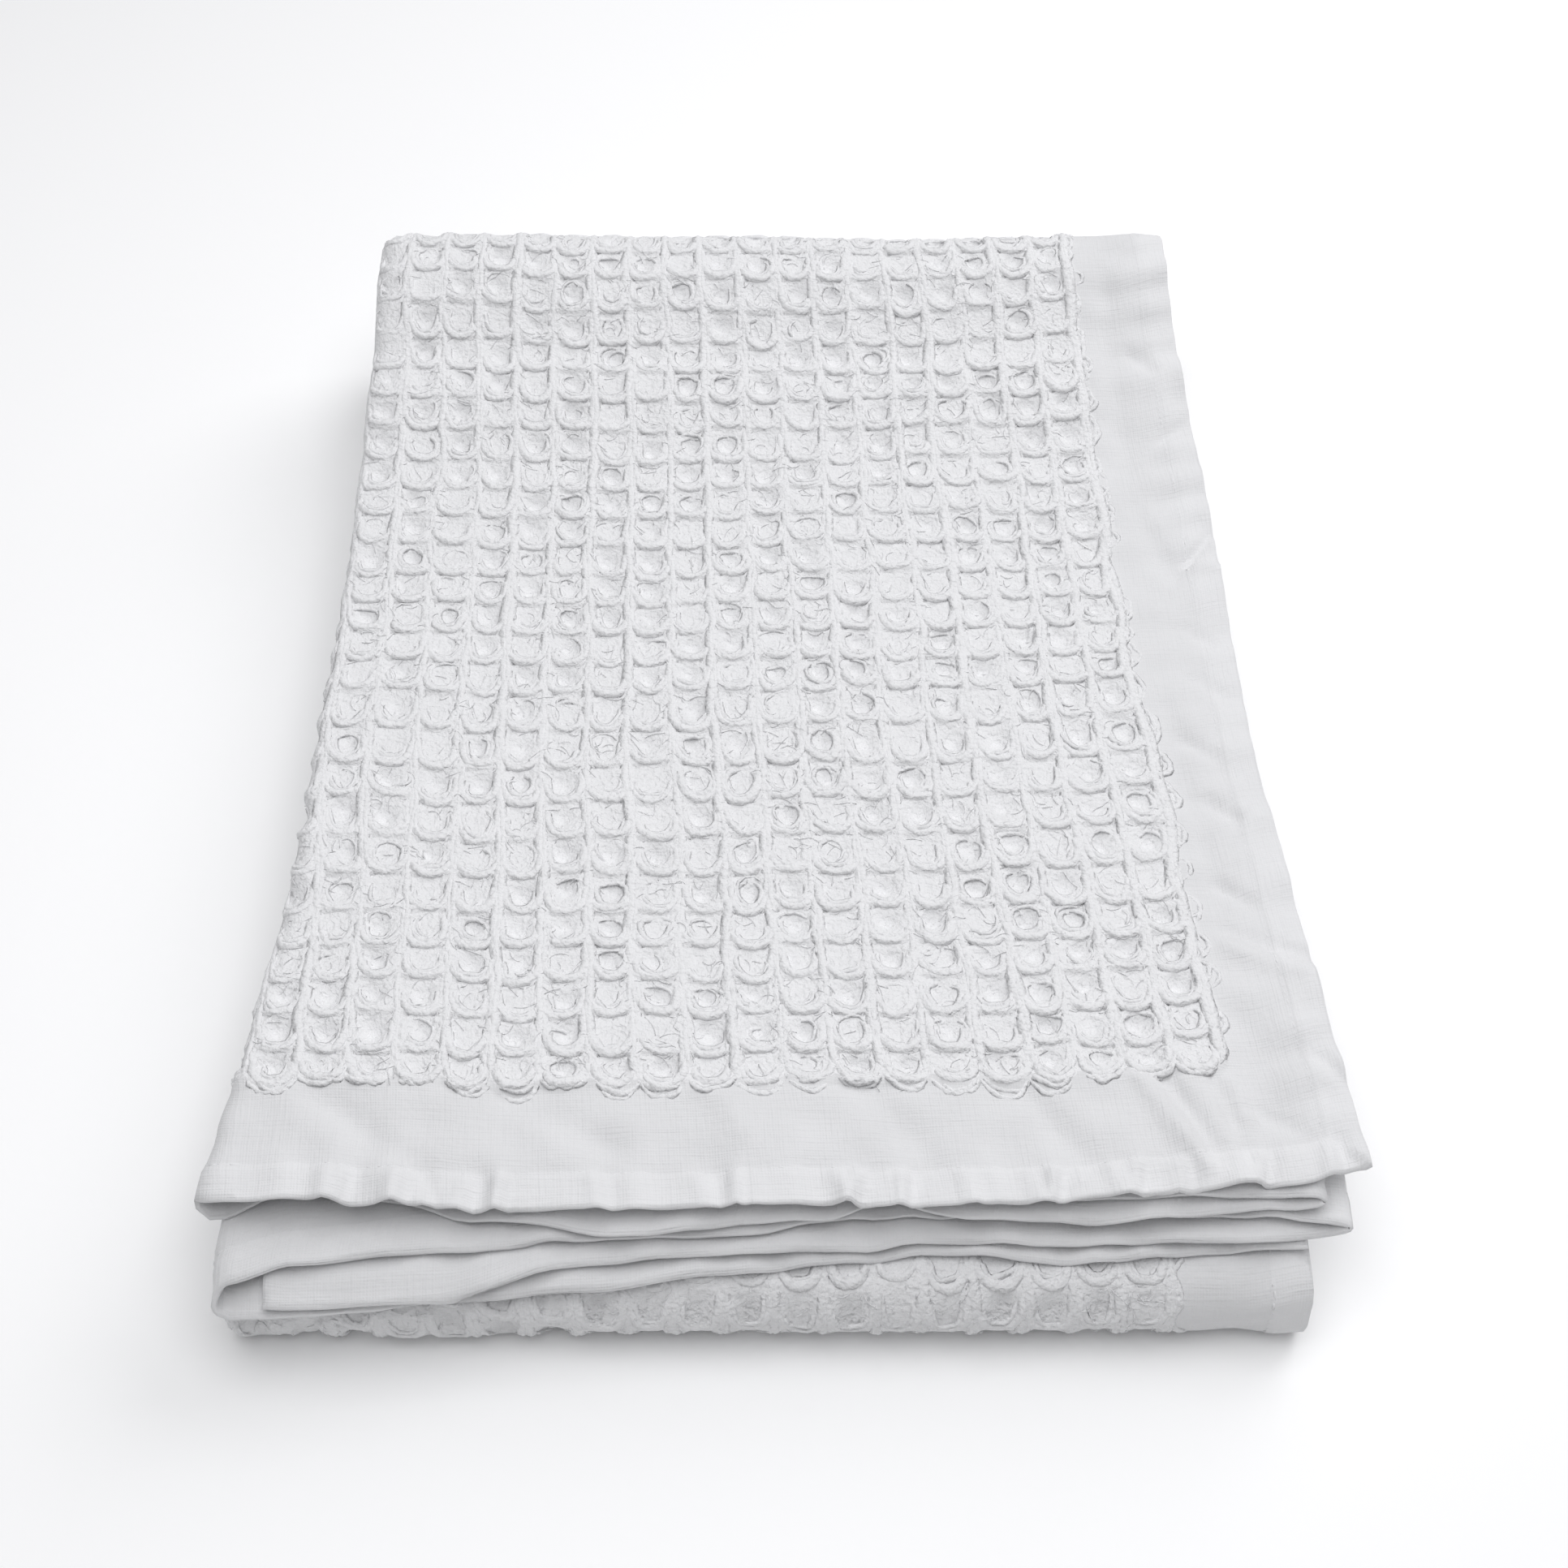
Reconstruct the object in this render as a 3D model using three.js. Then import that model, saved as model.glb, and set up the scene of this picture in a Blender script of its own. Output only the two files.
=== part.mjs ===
// Folded bath sheet of linen honeycomb cloth, in millimetres, +Z up.
// The sheet is one length of cloth. It is rolled in three across its width, into a strip of three
// layers, and the strip is folded in half twice along its length, into a stack of twelve layers.
// +X runs along the open hems, +Y from the open hems to the folds at the back. The origin is on the
// surface that the stack rests on, under the middle of the stack.

import * as THREE from "three";

// Cloth
const clothThick = 2.2;
const clothColour = 0xe9eaec;

// The strip of three layers: the layers lie at +1, 0 and -1 across the strip's own thickness
const leftWrapReach = 5.2;
const rightFoldReach = 3.6;

// Lines across the stack where the runs of the strip end: their place along Y in the middle, and how
// far they lean towards +Y for each millimetre of x. A fold's pitch spaces its layers along Y.
const lines = {
  hem: { y: -210.5, lean: 0 },
  front: { y: -217.5, lean: -0.014, pitch: 5.3, way: -1 },
  back: { y: 228, lean: -0.014, pitch: 3.7, way: 1 },
};

// Spacing of the layers, low ones (0 to 5) and high ones (5 to 11), from front to back.
// The plain hems press flat at the front, and the folds at the back stand higher.
const spacing = [
  { y: -236, low: 5.65, high: 3.95 },
  { y: -200, low: 5.65, high: 3.95 },
  { y: -164, low: 5.1, high: 4.4 },
  { y: -92, low: 4.5, high: 4.45 },
  { y: 60, low: 4.5, high: 4.5 },
  { y: 115, low: 4.8, high: 4.8 },
  { y: 168, low: 5.6, high: 5.6 },
  { y: 218, low: 6.85, high: 6.85 },
  { y: 250, low: 7.1, high: 7.1 },
];
const lowLayers = 5;

// Plan of the strip, by millimetres of strip from the first hem: the left fold of the strip, the free
// edge of its outer layer at the right, its right fold, and the free edge inside the left fold
const plan = [
  { along: 0, left: -180, free: 176, fold: 162.5, inner: -166 },
  { along: 24, left: -176.5, free: 174.5, fold: 163, inner: -164 },
  { along: 60, left: -171.5, free: 172.2, fold: 163, inner: -159 },
  { along: 115, left: -167, free: 170.4, fold: 162, inner: -155 },
  { along: 180, left: -165.8, free: 167.6, fold: 161, inner: -153 },
  { along: 290, left: -163.6, free: 169, fold: 159, inner: -151 },
  { along: 430, left: -162.6, free: 164.4, fold: 157, inner: -151 },
  { along: 700, left: -166, free: 163, fold: 155, inner: -153 },
  { along: 960, left: -174.5, free: 158.8, fold: 151, inner: -161 },
  { along: 1240, left: -165, free: 160.5, fold: 156, inner: -153 },
  { along: 1400, left: -161, free: 161, fold: 160, inner: -150 },
  { along: 1640, left: -165, free: 159.5, fold: 166, inner: -154 },
  { along: 1860, left: -174, free: 157.5, fold: 171.5, inner: -160 },
];

// How far each hem edge reaches in front of the hem line, by place across the stack:
// under, middle and top are the three layers of the strip
const firstHem = [
  { x: -180, top: -3.5, middle: -6, under: -2 },
  { x: -152, top: -3.5, middle: -10, under: -10 },
  { x: -122, top: -1.5, middle: -9, under: -7 },
  { x: -95, top: 0.5, middle: -7, under: 0 },
  { x: -50, top: 0.5, middle: -5, under: 5.5 },
  { x: 10, top: 0, middle: -6, under: 1 },
  { x: 28, top: 0.5, middle: -5, under: -4 },
  { x: 55, top: 0.5, middle: -4, under: 1.5 },
  { x: 95, top: -0.5, middle: -2.5, under: 3.5 },
  { x: 150, top: -3.5, middle: -1.5, under: 0.5 },
  { x: 176, top: -8.5, middle: 0, under: 0 },
];
const secondHem = [
  { x: -172, top: 17, middle: 20, under: 22.5 },
  { x: -150, top: 12, middle: 22.5, under: 23 },
  { x: -110, top: 8.5, middle: 21, under: 19 },
  { x: -62, top: 5, middle: 11, under: 17 },
  { x: -20, top: 4.5, middle: 8.5, under: 13 },
  { x: 20, top: -1, middle: 7.5, under: 9.5 },
  { x: 40, top: -1.5, middle: 5, under: 7 },
  { x: 90, top: -1, middle: 7, under: 11 },
  { x: 140, top: 1, middle: 7.5, under: 8 },
  { x: 172, top: 4, middle: 5, under: 8 },
];

// The route of the strip from hem to hem. A run lies at one level of the stack, and a fold turns
// about one level with its radius in levels. Side is +1 where the strip's top face is uppermost in a
// run or outermost in a fold. A run's steps crowd towards its hem.
const route = [
  { level: 10, side: 1, from: "hem", to: "back", hem: firstHem, steps: 15 },
  { level: 5.5, radius: 4.5, side: 1, turn: -1, at: "back", steps: 13 },
  { level: 1, side: -1, from: "back", to: "front", steps: 9 },
  { level: 2.5, radius: 1.5, side: 1, turn: 1, at: "front", steps: 10 },
  { level: 4, side: 1, from: "front", to: "back", steps: 9 },
  { level: 5.5, radius: 1.5, side: -1, turn: 1, at: "back", steps: 8 },
  { level: 7, side: -1, from: "back", to: "hem", hem: secondHem, steps: 13 },
];
const hemCrowding = 1.7;

// The layers of the strip from its free edge at the right to its free edge inside the left fold
const layers = [
  { part: "top", steps: 8 },
  { part: "leftWrap", steps: 7 },
  { part: "under", steps: 7 },
  { part: "rightFold", steps: 6 },
  { part: "middle", steps: 6 },
];

const mix = (a, b, t) => a + (b - a) * t;
const smooth = (t) => t * t * (3 - 2 * t);

// Value of a named column of a table at a place along its key, eased between its rows
function look(table, key, at, column) {
  const last = table.length - 1;
  if (at <= table[0][key]) return table[0][column];
  if (at >= table[last][key]) return table[last][column];
  const next = table.findIndex((row) => row[key] > at);
  const low = table[next - 1];
  const high = table[next];
  return mix(low[column], high[column], smooth((at - low[key]) / (high[key] - low[key])));
}

// Slow unevenness of the stack, as a share of the layers' spacing
function unevenness(x, y) {
  const broad = 0.018 * Math.sin(x / 47 + 0.9) * Math.cos(y / 61 - 0.4);
  const narrow = 0.01 * Math.sin(x / 23 - y / 34 + 2.1);
  return 1 + broad + narrow;
}

// Place along Y of one of the lines, at a place across the stack
const lineAt = (name, x) => lines[name].y + lines[name].lean * x;

// Drop of the second hem where it overhangs the round front fold
function overhangDrop(level, x, y) {
  const foldRadius = lowLayers * 0.5;
  const reach = (lineAt("front", x) - y) / (foldRadius * lines.front.pitch + clothThick / 2);
  if (reach <= 0 || level <= lowLayers) return 0;
  const fall = 1 - Math.sqrt(1 - Math.min(reach, 0.93) ** 2);
  const share = mix(0.55, 0.2, (level - lowLayers - 1) / lowLayers);
  return fall * foldRadius * look(spacing, "y", y, "low") * share;
}

function heightOf(level, x, y) {
  const low = look(spacing, "y", y, "low");
  const high = look(spacing, "y", y, "high");
  const stacked = Math.min(level, lowLayers) * low + Math.max(level - lowLayers, 0) * high;
  return clothThick / 2 + stacked * unevenness(x, y) - overhangDrop(level, x, y);
}

// Place across the strip: x, and its offset in levels
function across(layer, share, along) {
  const left = look(plan, "along", along, "left");
  const fold = look(plan, "along", along, "fold");
  const wrapCentre = left + leftWrapReach;
  const foldCentre = fold - rightFoldReach;
  if (layer.part === "top") {
    return { x: mix(look(plan, "along", along, "free"), wrapCentre, share), offset: 1 };
  }
  if (layer.part === "leftWrap") {
    const angle = Math.PI * share;
    return { x: wrapCentre - leftWrapReach * Math.sin(angle), offset: Math.cos(angle) };
  }
  if (layer.part === "under") {
    return { x: mix(wrapCentre, foldCentre, share), offset: -1 };
  }
  if (layer.part === "rightFold") {
    const angle = Math.PI * share;
    return { x: foldCentre + rightFoldReach * Math.sin(angle), offset: -0.5 - 0.5 * Math.cos(angle) };
  }
  return { x: mix(foldCentre, look(plan, "along", along, "inner"), share), offset: 0 };
}

// How far the hem reaches forward at a place across the strip
function hemReach(hem, x, offset) {
  const middle = look(hem, "x", x, "middle");
  const top = look(hem, "x", x, offset > 0 ? "top" : "under");
  return mix(middle, top, Math.abs(offset));
}

// The second hem lies the other way up, so its top column belongs to the strip's under layer
function hemReachOn(leg, x, offset) {
  return leg.hem ? hemReach(leg.hem, x, leg.side * offset) : 0;
}

// Point of the cloth's middle surface, from a place across (layer, share) and one along (leg, share)
function clothPoint(layer, acrossShare, leg, alongShare) {
  const along = leg.start + leg.length * alongShare;
  const place = across(layer, acrossShare, along);
  if (leg.radius) {
    const radius = leg.radius + leg.side * place.offset;
    const angle = leg.turn * mix(-90, 90, alongShare) * THREE.MathUtils.DEG2RAD;
    const level = leg.level + radius * Math.sin(angle);
    const fold = lines[leg.at];
    const y = lineAt(leg.at, place.x) + fold.way * radius * fold.pitch * Math.cos(angle);
    return new THREE.Vector3(place.x, y, heightOf(level, place.x, y));
  }
  const level = leg.level + leg.side * place.offset;
  const reach = hemReachOn(leg, place.x, place.offset);
  const from = lineAt(leg.from, place.x) - (leg.from === "hem" ? reach : 0);
  const to = lineAt(leg.to, place.x) - (leg.to === "hem" ? reach : 0);
  const y = mix(from, to, alongShare);
  return new THREE.Vector3(place.x, y, heightOf(level, place.x, y));
}

// Length of a leg of the route along the middle of the strip
function legLength(leg) {
  if (!leg.radius) return Math.abs(lines[leg.to].y - lines[leg.from].y);
  const fold = lines[leg.at];
  const meanPitch = (fold.pitch + look(spacing, "y", fold.y, "low")) / 2;
  return Math.PI * leg.radius * meanPitch;
}

let reached = 0;
for (const leg of route) {
  leg.length = legLength(leg);
  leg.start = reached;
  reached += leg.length;
}

// A leg's even share, crowded towards the hem that it starts or ends with
function crowded(part, share) {
  if (part.from === "hem") return share ** hemCrowding;
  if (part.to === "hem") return 1 - (1 - share) ** hemCrowding;
  return share;
}

// Grid stations: each layer or leg gives its steps, and the last one also its end
function stations(parts) {
  const list = [];
  parts.forEach((part, index) => {
    const count = index === parts.length - 1 ? part.steps + 1 : part.steps;
    for (let step = 0; step < count; step += 1) {
      list.push({ part, share: crowded(part, step / part.steps) });
    }
  });
  return list;
}

// The sheet's face turned to the outside of the stack lies on its normal's side
function clothNormal(u, v) {
  const small = 0.002;
  const low = (share) => Math.max(share - small, 0);
  const high = (share) => Math.min(share + small, 1);
  const alongU = clothPoint(u.part, high(u.share), v.part, v.share);
  alongU.sub(clothPoint(u.part, low(u.share), v.part, v.share));
  const alongV = clothPoint(u.part, u.share, v.part, high(v.share));
  alongV.sub(clothPoint(u.part, u.share, v.part, low(v.share)));
  return alongV.cross(alongU).normalize();
}

function clothGeometry() {
  const us = stations(layers);
  const vs = stations(route);
  const positions = [];
  for (const side of [1, -1]) {
    for (const v of vs) {
      for (const u of us) {
        const point = clothPoint(u.part, u.share, v.part, v.share);
        point.addScaledVector(clothNormal(u, v), side * clothThick / 2);
        positions.push(point.x, point.y, point.z);
      }
    }
  }
  const wide = us.length;
  const long = vs.length;
  const at = (face, i, j) => face * wide * long + j * wide + i;
  const indices = [];
  const quad = (a, b, c, d) => indices.push(a, b, c, a, c, d);
  for (let j = 0; j < long - 1; j += 1) {
    for (let i = 0; i < wide - 1; i += 1) {
      quad(at(0, i, j), at(0, i, j + 1), at(0, i + 1, j + 1), at(0, i + 1, j));
      quad(at(1, i, j), at(1, i + 1, j), at(1, i + 1, j + 1), at(1, i, j + 1));
    }
    quad(at(0, 0, j), at(1, 0, j), at(1, 0, j + 1), at(0, 0, j + 1));
    quad(at(0, wide - 1, j), at(0, wide - 1, j + 1), at(1, wide - 1, j + 1), at(1, wide - 1, j));
  }
  for (let i = 0; i < wide - 1; i += 1) {
    quad(at(0, i, 0), at(0, i + 1, 0), at(1, i + 1, 0), at(1, i, 0));
    quad(at(0, i, long - 1), at(1, i, long - 1), at(1, i + 1, long - 1), at(0, i + 1, long - 1));
  }
  const geometry = new THREE.BufferGeometry();
  geometry.setAttribute("position", new THREE.Float32BufferAttribute(positions, 3));
  geometry.setIndex(indices);
  geometry.computeVertexNormals();
  return geometry;
}

// Moves the cloth so that the middle of its plan is over the origin
function centred(geometry) {
  geometry.computeBoundingBox();
  const middle = geometry.boundingBox.getCenter(new THREE.Vector3());
  return geometry.translate(-middle.x, -middle.y, 0);
}

const linen = new THREE.MeshStandardMaterial({ color: clothColour, roughness: 0.9, metalness: 0 });
const bathSheet = new THREE.Mesh(centred(clothGeometry()), linen);
bathSheet.name = "bath_sheet";

const foldedBathSheet = new THREE.Group();
foldedBathSheet.add(bathSheet);

export default foldedBathSheet;
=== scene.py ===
import math

import bpy
import numpy as np
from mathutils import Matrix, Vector


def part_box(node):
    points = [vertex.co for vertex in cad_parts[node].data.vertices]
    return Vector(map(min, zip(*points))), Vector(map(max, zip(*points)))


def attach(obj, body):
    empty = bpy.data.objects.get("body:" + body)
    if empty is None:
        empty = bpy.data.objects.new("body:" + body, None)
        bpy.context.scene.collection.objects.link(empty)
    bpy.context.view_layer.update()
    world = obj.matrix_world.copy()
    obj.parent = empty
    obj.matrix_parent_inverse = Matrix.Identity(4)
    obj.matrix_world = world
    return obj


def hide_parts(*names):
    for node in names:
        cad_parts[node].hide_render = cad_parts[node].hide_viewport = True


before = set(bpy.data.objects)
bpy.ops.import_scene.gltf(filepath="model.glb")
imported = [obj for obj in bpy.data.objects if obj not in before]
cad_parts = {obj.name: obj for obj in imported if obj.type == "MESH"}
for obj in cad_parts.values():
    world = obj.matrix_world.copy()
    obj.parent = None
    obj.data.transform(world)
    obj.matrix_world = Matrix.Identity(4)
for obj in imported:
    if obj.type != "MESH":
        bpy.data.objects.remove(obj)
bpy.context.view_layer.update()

# Folded bath sheet of washed linen honeycomb with plain-woven borders and turned hems.
# Lengths are in millimetres until a mesh is made. U runs over the flat cloth from the free edge at
# the right, V from the first hem.
toMetres = 0.001
rng = np.random.default_rng(41)


def mix(low, high, share):
    return low + (high - low) * share


def ease(share):
    share = np.clip(share, 0, 1)
    return share * share * (3 - 2 * share)


def rise(value, start, end):
    # 0 up to start, 1 from end on, eased between them
    return ease((value - start) / (end - start))


def unit(vectors):
    return vectors / np.maximum(np.linalg.norm(vectors, axis=-1, keepdims=True), 1e-9)


def look(table, key, at, column):
    # value of a named column at a place along its key, eased between the table's rows
    keys = np.array(table[key], float)
    values = np.array(table[column], float)
    at = np.clip(at, keys[0], keys[-1])
    row = np.clip(np.searchsorted(keys, at, side="right") - 1, 0, len(keys) - 2)
    share = ease((at - keys[row]) / (keys[row + 1] - keys[row]))
    return mix(values[row], values[row + 1], share)


# The folded form, as the solid has it: rolled in three across, then folded in half twice
form = {
    "thick": 2.2,
    "wrapReach": 5.2,  # left fold of the roll
    "foldReach": 3.6,  # right fold of the roll
    "lowLayers": 5,  # levels up to this one lie in the front fold, the others over it
    "frontShare": 0.93,  # how far round the front fold the layers over it bend down
    "lowDrop": 0.55,  # share of that bend that the lowest of them takes
    "highDrop": 0.2,  # and the highest
    "normalStep": 0.002,  # as a share of a part of the roll or a leg of the route
    "boxSamples": (400, 500),  # places across and along at which the form's box is measured
}
swells = {  # the stack is not quite even
    "broad": {"high": 0.018, "x": 47, "y": 61, "phaseX": 0.9, "phaseY": -0.4},
    "slanted": {"high": 0.01, "x": 23, "y": 34, "phase": 2.1},
}
foldLines = {
    "hem": {"y": -210.5, "lean": 0.0},
    "front": {"y": -217.5, "lean": -0.014, "pitch": 5.3, "way": -1},
    "back": {"y": 228.0, "lean": -0.014, "pitch": 3.7, "way": 1},
}
spacing = {  # height of one layer, by place along Y
    "y": [-236, -200, -164, -92, 60, 115, 168, 218, 250],
    "low": [5.65, 5.65, 5.1, 4.5, 4.5, 4.8, 5.6, 6.85, 7.1],
    "high": [3.95, 3.95, 4.4, 4.45, 4.5, 4.8, 5.6, 6.85, 7.1],
}
plan = {  # edges and folds of the roll, by millimetres of strip from the first hem
    "along": [0, 24, 60, 115, 180, 290, 430, 700, 960, 1240, 1400, 1640, 1860],
    "left": [-180, -176.5, -171.5, -167, -165.8, -163.6, -162.6, -166, -174.5, -165, -161, -165, -174],
    "free": [176, 174.5, 172.2, 170.4, 167.6, 169, 164.4, 163, 158.8, 160.5, 161, 159.5, 157.5],
    "fold": [162.5, 163, 163, 162, 161, 159, 157, 155, 151, 156, 160, 166, 171.5],
    "inner": [-166, -164, -159, -155, -153, -151, -151, -153, -161, -153, -150, -154, -160],
}
firstHem = {  # how far each hem reaches in front of the hem line
    "x": [-180, -152, -122, -95, -50, 10, 28, 55, 95, 150, 176],
    "top": [-3.5, -3.5, -1.5, 0.5, 0.5, 0, 0.5, 0.5, -0.5, -3.5, -8.5],
    "middle": [-6, -10, -9, -7, -5, -6, -5, -4, -2.5, -1.5, 0],
    "under": [-2, -10, -7, 0, 5.5, 1, -4, 1.5, 3.5, 0.5, 0],
}
secondHem = {
    "x": [-172, -150, -110, -62, -20, 20, 40, 90, 140, 172],
    "top": [17, 12, 8.5, 5, 4.5, -1, -1.5, -1, 1, 4],
    "middle": [20, 22.5, 21, 11, 8.5, 7.5, 5, 7, 7.5, 5],
    "under": [22.5, 23, 19, 17, 13, 9.5, 7, 11, 8, 8],
}
# The strip from the first hem to the second: four lengths and the three folds between them. A level
# is a layer counted from the floor, and side is 1 where the roll's first layer lies on top, or
# outside in a fold
route = [
    {"level": 10, "side": 1, "from": "hem", "to": "back", "hem": firstHem},
    {"level": 5.5, "radius": 4.5, "side": 1, "turn": -1, "at": "back"},
    {"level": 1, "side": -1, "from": "back", "to": "front"},
    {"level": 2.5, "radius": 1.5, "side": 1, "turn": 1, "at": "front"},
    {"level": 4, "side": 1, "from": "front", "to": "back"},
    {"level": 5.5, "radius": 1.5, "side": -1, "turn": 1, "at": "back"},
    {"level": 7, "side": -1, "from": "back", "to": "hem", "hem": secondHem},
]
rollParts = 5  # three layers, 0, 2 and 4, and the folds between them, 1 and 3
legLength = []
for leg in route:
    if "radius" in leg:
        fold = foldLines[leg["at"]]
        foldPitch = (fold["pitch"] + look(spacing, "y", fold["y"], "low")) / 2
        legLength.append(math.pi * leg["radius"] * foldPitch)
    else:
        legLength.append(abs(foldLines[leg["to"]]["y"] - foldLines[leg["from"]]["y"]))
legLength = np.array(legLength)
legStart = np.concatenate([[0], np.cumsum(legLength)])


def lineAt(name, x):
    return foldLines[name]["y"] + foldLines[name]["lean"] * x


def unevenness(x, y):
    broad, slanted = swells["broad"], swells["slanted"]
    acrossX = np.sin(x / broad["x"] + broad["phaseX"])
    alongY = np.cos(y / broad["y"] + broad["phaseY"])
    slant = np.sin(x / slanted["x"] - y / slanted["y"] + slanted["phase"])
    return 1 + broad["high"] * acrossX * alongY + slanted["high"] * slant


def overhangDrop(level, x, y):
    # the upper layers sink where they hang over the front fold
    lowLayers = form["lowLayers"]
    foldRadius = lowLayers * 0.5
    reach = (lineAt("front", x) - y) / (foldRadius * foldLines["front"]["pitch"] + form["thick"] / 2)
    fall = 1 - np.sqrt(1 - np.clip(reach, 0, form["frontShare"]) ** 2)
    share = mix(form["lowDrop"], form["highDrop"], (level - lowLayers - 1) / lowLayers)
    drop = fall * foldRadius * look(spacing, "y", y, "low") * share
    return np.where(level > lowLayers, drop, 0)


def heightOf(level, x, y):
    lowLayers = form["lowLayers"]
    stacked = np.minimum(level, lowLayers) * look(spacing, "y", y, "low")
    stacked = stacked + np.maximum(level - lowLayers, 0) * look(spacing, "y", y, "high")
    return form["thick"] / 2 + stacked * unevenness(x, y) - overhangDrop(level, x, y)


def across(q, along):
    # x and the offset in levels at a place across the roll. q counts the roll's parts
    part = np.minimum(q.astype(int), rollParts - 1)
    share = q - part
    left, free, fold, inner = (look(plan, "along", along, name) for name in ("left", "free", "fold", "inner"))
    wrapCentre = left + form["wrapReach"]
    foldCentre = fold - form["foldReach"]
    angle = math.pi * share
    parts = [part == 0, part == 1, part == 2, part == 3]
    x = np.select(
        parts,
        [mix(free, wrapCentre, share), wrapCentre - form["wrapReach"] * np.sin(angle),
         mix(wrapCentre, foldCentre, share), foldCentre + form["foldReach"] * np.sin(angle)],
        mix(foldCentre, inner, share))
    offset = np.select(
        parts,
        [np.ones_like(q), np.cos(angle), -np.ones_like(q), -0.5 - 0.5 * np.cos(angle)], 0.0)
    return x, offset


def hemReach(hem, x, offset):
    middle = look(hem, "x", x, "middle")
    outer = np.where(offset > 0, look(hem, "x", x, "top"), look(hem, "x", x, "under"))
    return mix(middle, outer, np.abs(offset))


def formPoint(q, p):
    # point of the cloth's middle surface. q counts the roll's parts, p the legs of the route
    number = np.minimum(p.astype(int), len(route) - 1)
    share = p - number
    x, offset = across(q, legStart[number] + legLength[number] * share)
    y = np.zeros_like(x)
    level = np.zeros_like(x)
    for index, leg in enumerate(route):
        here = number == index
        if not here.any():
            continue
        xHere, offsetHere, shareHere = x[here], offset[here], share[here]
        if "radius" in leg:
            radius = leg["radius"] + leg["side"] * offsetHere
            angle = leg["turn"] * np.radians(mix(-90, 90, shareHere))
            level[here] = leg["level"] + radius * np.sin(angle)
            fold = foldLines[leg["at"]]
            y[here] = lineAt(leg["at"], xHere) + fold["way"] * radius * fold["pitch"] * np.cos(angle)
            continue
        level[here] = leg["level"] + leg["side"] * offsetHere
        reach = hemReach(leg["hem"], xHere, leg["side"] * offsetHere) if "hem" in leg else 0
        start = lineAt(leg["from"], xHere) - (reach if leg["from"] == "hem" else 0)
        end = lineAt(leg["to"], xHere) - (reach if leg["to"] == "hem" else 0)
        y[here] = mix(start, end, shareHere)
    return np.stack([x, y, heightOf(level, x, y)], -1)


def formNormal(q, p):
    small = form["normalStep"]
    qLow, qHigh = np.maximum(q - small, 0), np.minimum(q + small, rollParts)
    pLow, pHigh = np.maximum(p - small, 0), np.minimum(p + small, len(route))
    alongQ = formPoint(qHigh, p) - formPoint(qLow, p)
    alongP = formPoint(q, pHigh) - formPoint(q, pLow)
    return unit(np.cross(alongP, alongQ))


def solidShift():
    # from the form's own place to the solid's, which is centred on the origin
    low, high = (np.array(corner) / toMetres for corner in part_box("bath_sheet"))
    countQ, countP = form["boxSamples"]
    q, p = np.meshgrid(np.linspace(0, rollParts, countQ), np.linspace(0, len(route), countP), indexing="ij")
    middle = formPoint(q, p)
    outward = formNormal(q, p) * form["thick"] / 2
    faces = np.concatenate([middle + outward, middle - outward]).reshape(-1, 3)
    moved = (low + high) / 2 - (faces.min(0) + faces.max(0)) / 2
    moved[2] = 0
    return moved


shift = solidShift()
print("folded form ready")

# The flat cloth
cloth = {
    "pitch": 15.2,
    "columns": 60,
    "rows": 118,
    "hemThick": 1.7,
    "plainThick": 1.1,
    "honeycombThick": 0.8,
    "slip": 120,  # near the left fold the layers of the roll keep their rows together
    "edgeInset": 0.5,  # the middle of the cut edge stands out by this, which rounds it
}
borderLines = np.array([0, 12.5, 27, 43.0])  # edge, stitch line, middle of the border, honeycomb
stitchLine, borderWide = borderLines[1], borderLines[-1]
flatWide = cloth["pitch"] * cloth["columns"] + 2 * borderWide
flatLong = cloth["pitch"] * cloth["rows"] + 2 * borderWide
honeycombEdge = {  # x of the first rib on top, nearly straight, and the way back to an even border
    "v": [0, 200, 440],
    "x": [138.0, 128.3, 122.9],
    "merge": 80,
}
topRows = {  # V of the rims on top
    "row": [0, 1, 5, 9, 11, 15, 18, 20, 22, 26],
    "v": [45, 56.5, 114.5, 178, 213, 273, 317, 349, 378, 440],
}
flatSteps = {  # samples in each part of the roll and leg of the route, and the tables' steps
    "roll": (60, 16, 50, 14, 50),
    "route": (90, 40, 60, 30, 60, 30, 60),
    "u": 1.0,
    "v": 2.0,
}


def evenSamples(counts):
    parts = [np.linspace(i, i + 1, n, endpoint=False) for i, n in enumerate(counts)]
    return np.concatenate(parts + [[len(counts)]])


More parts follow.
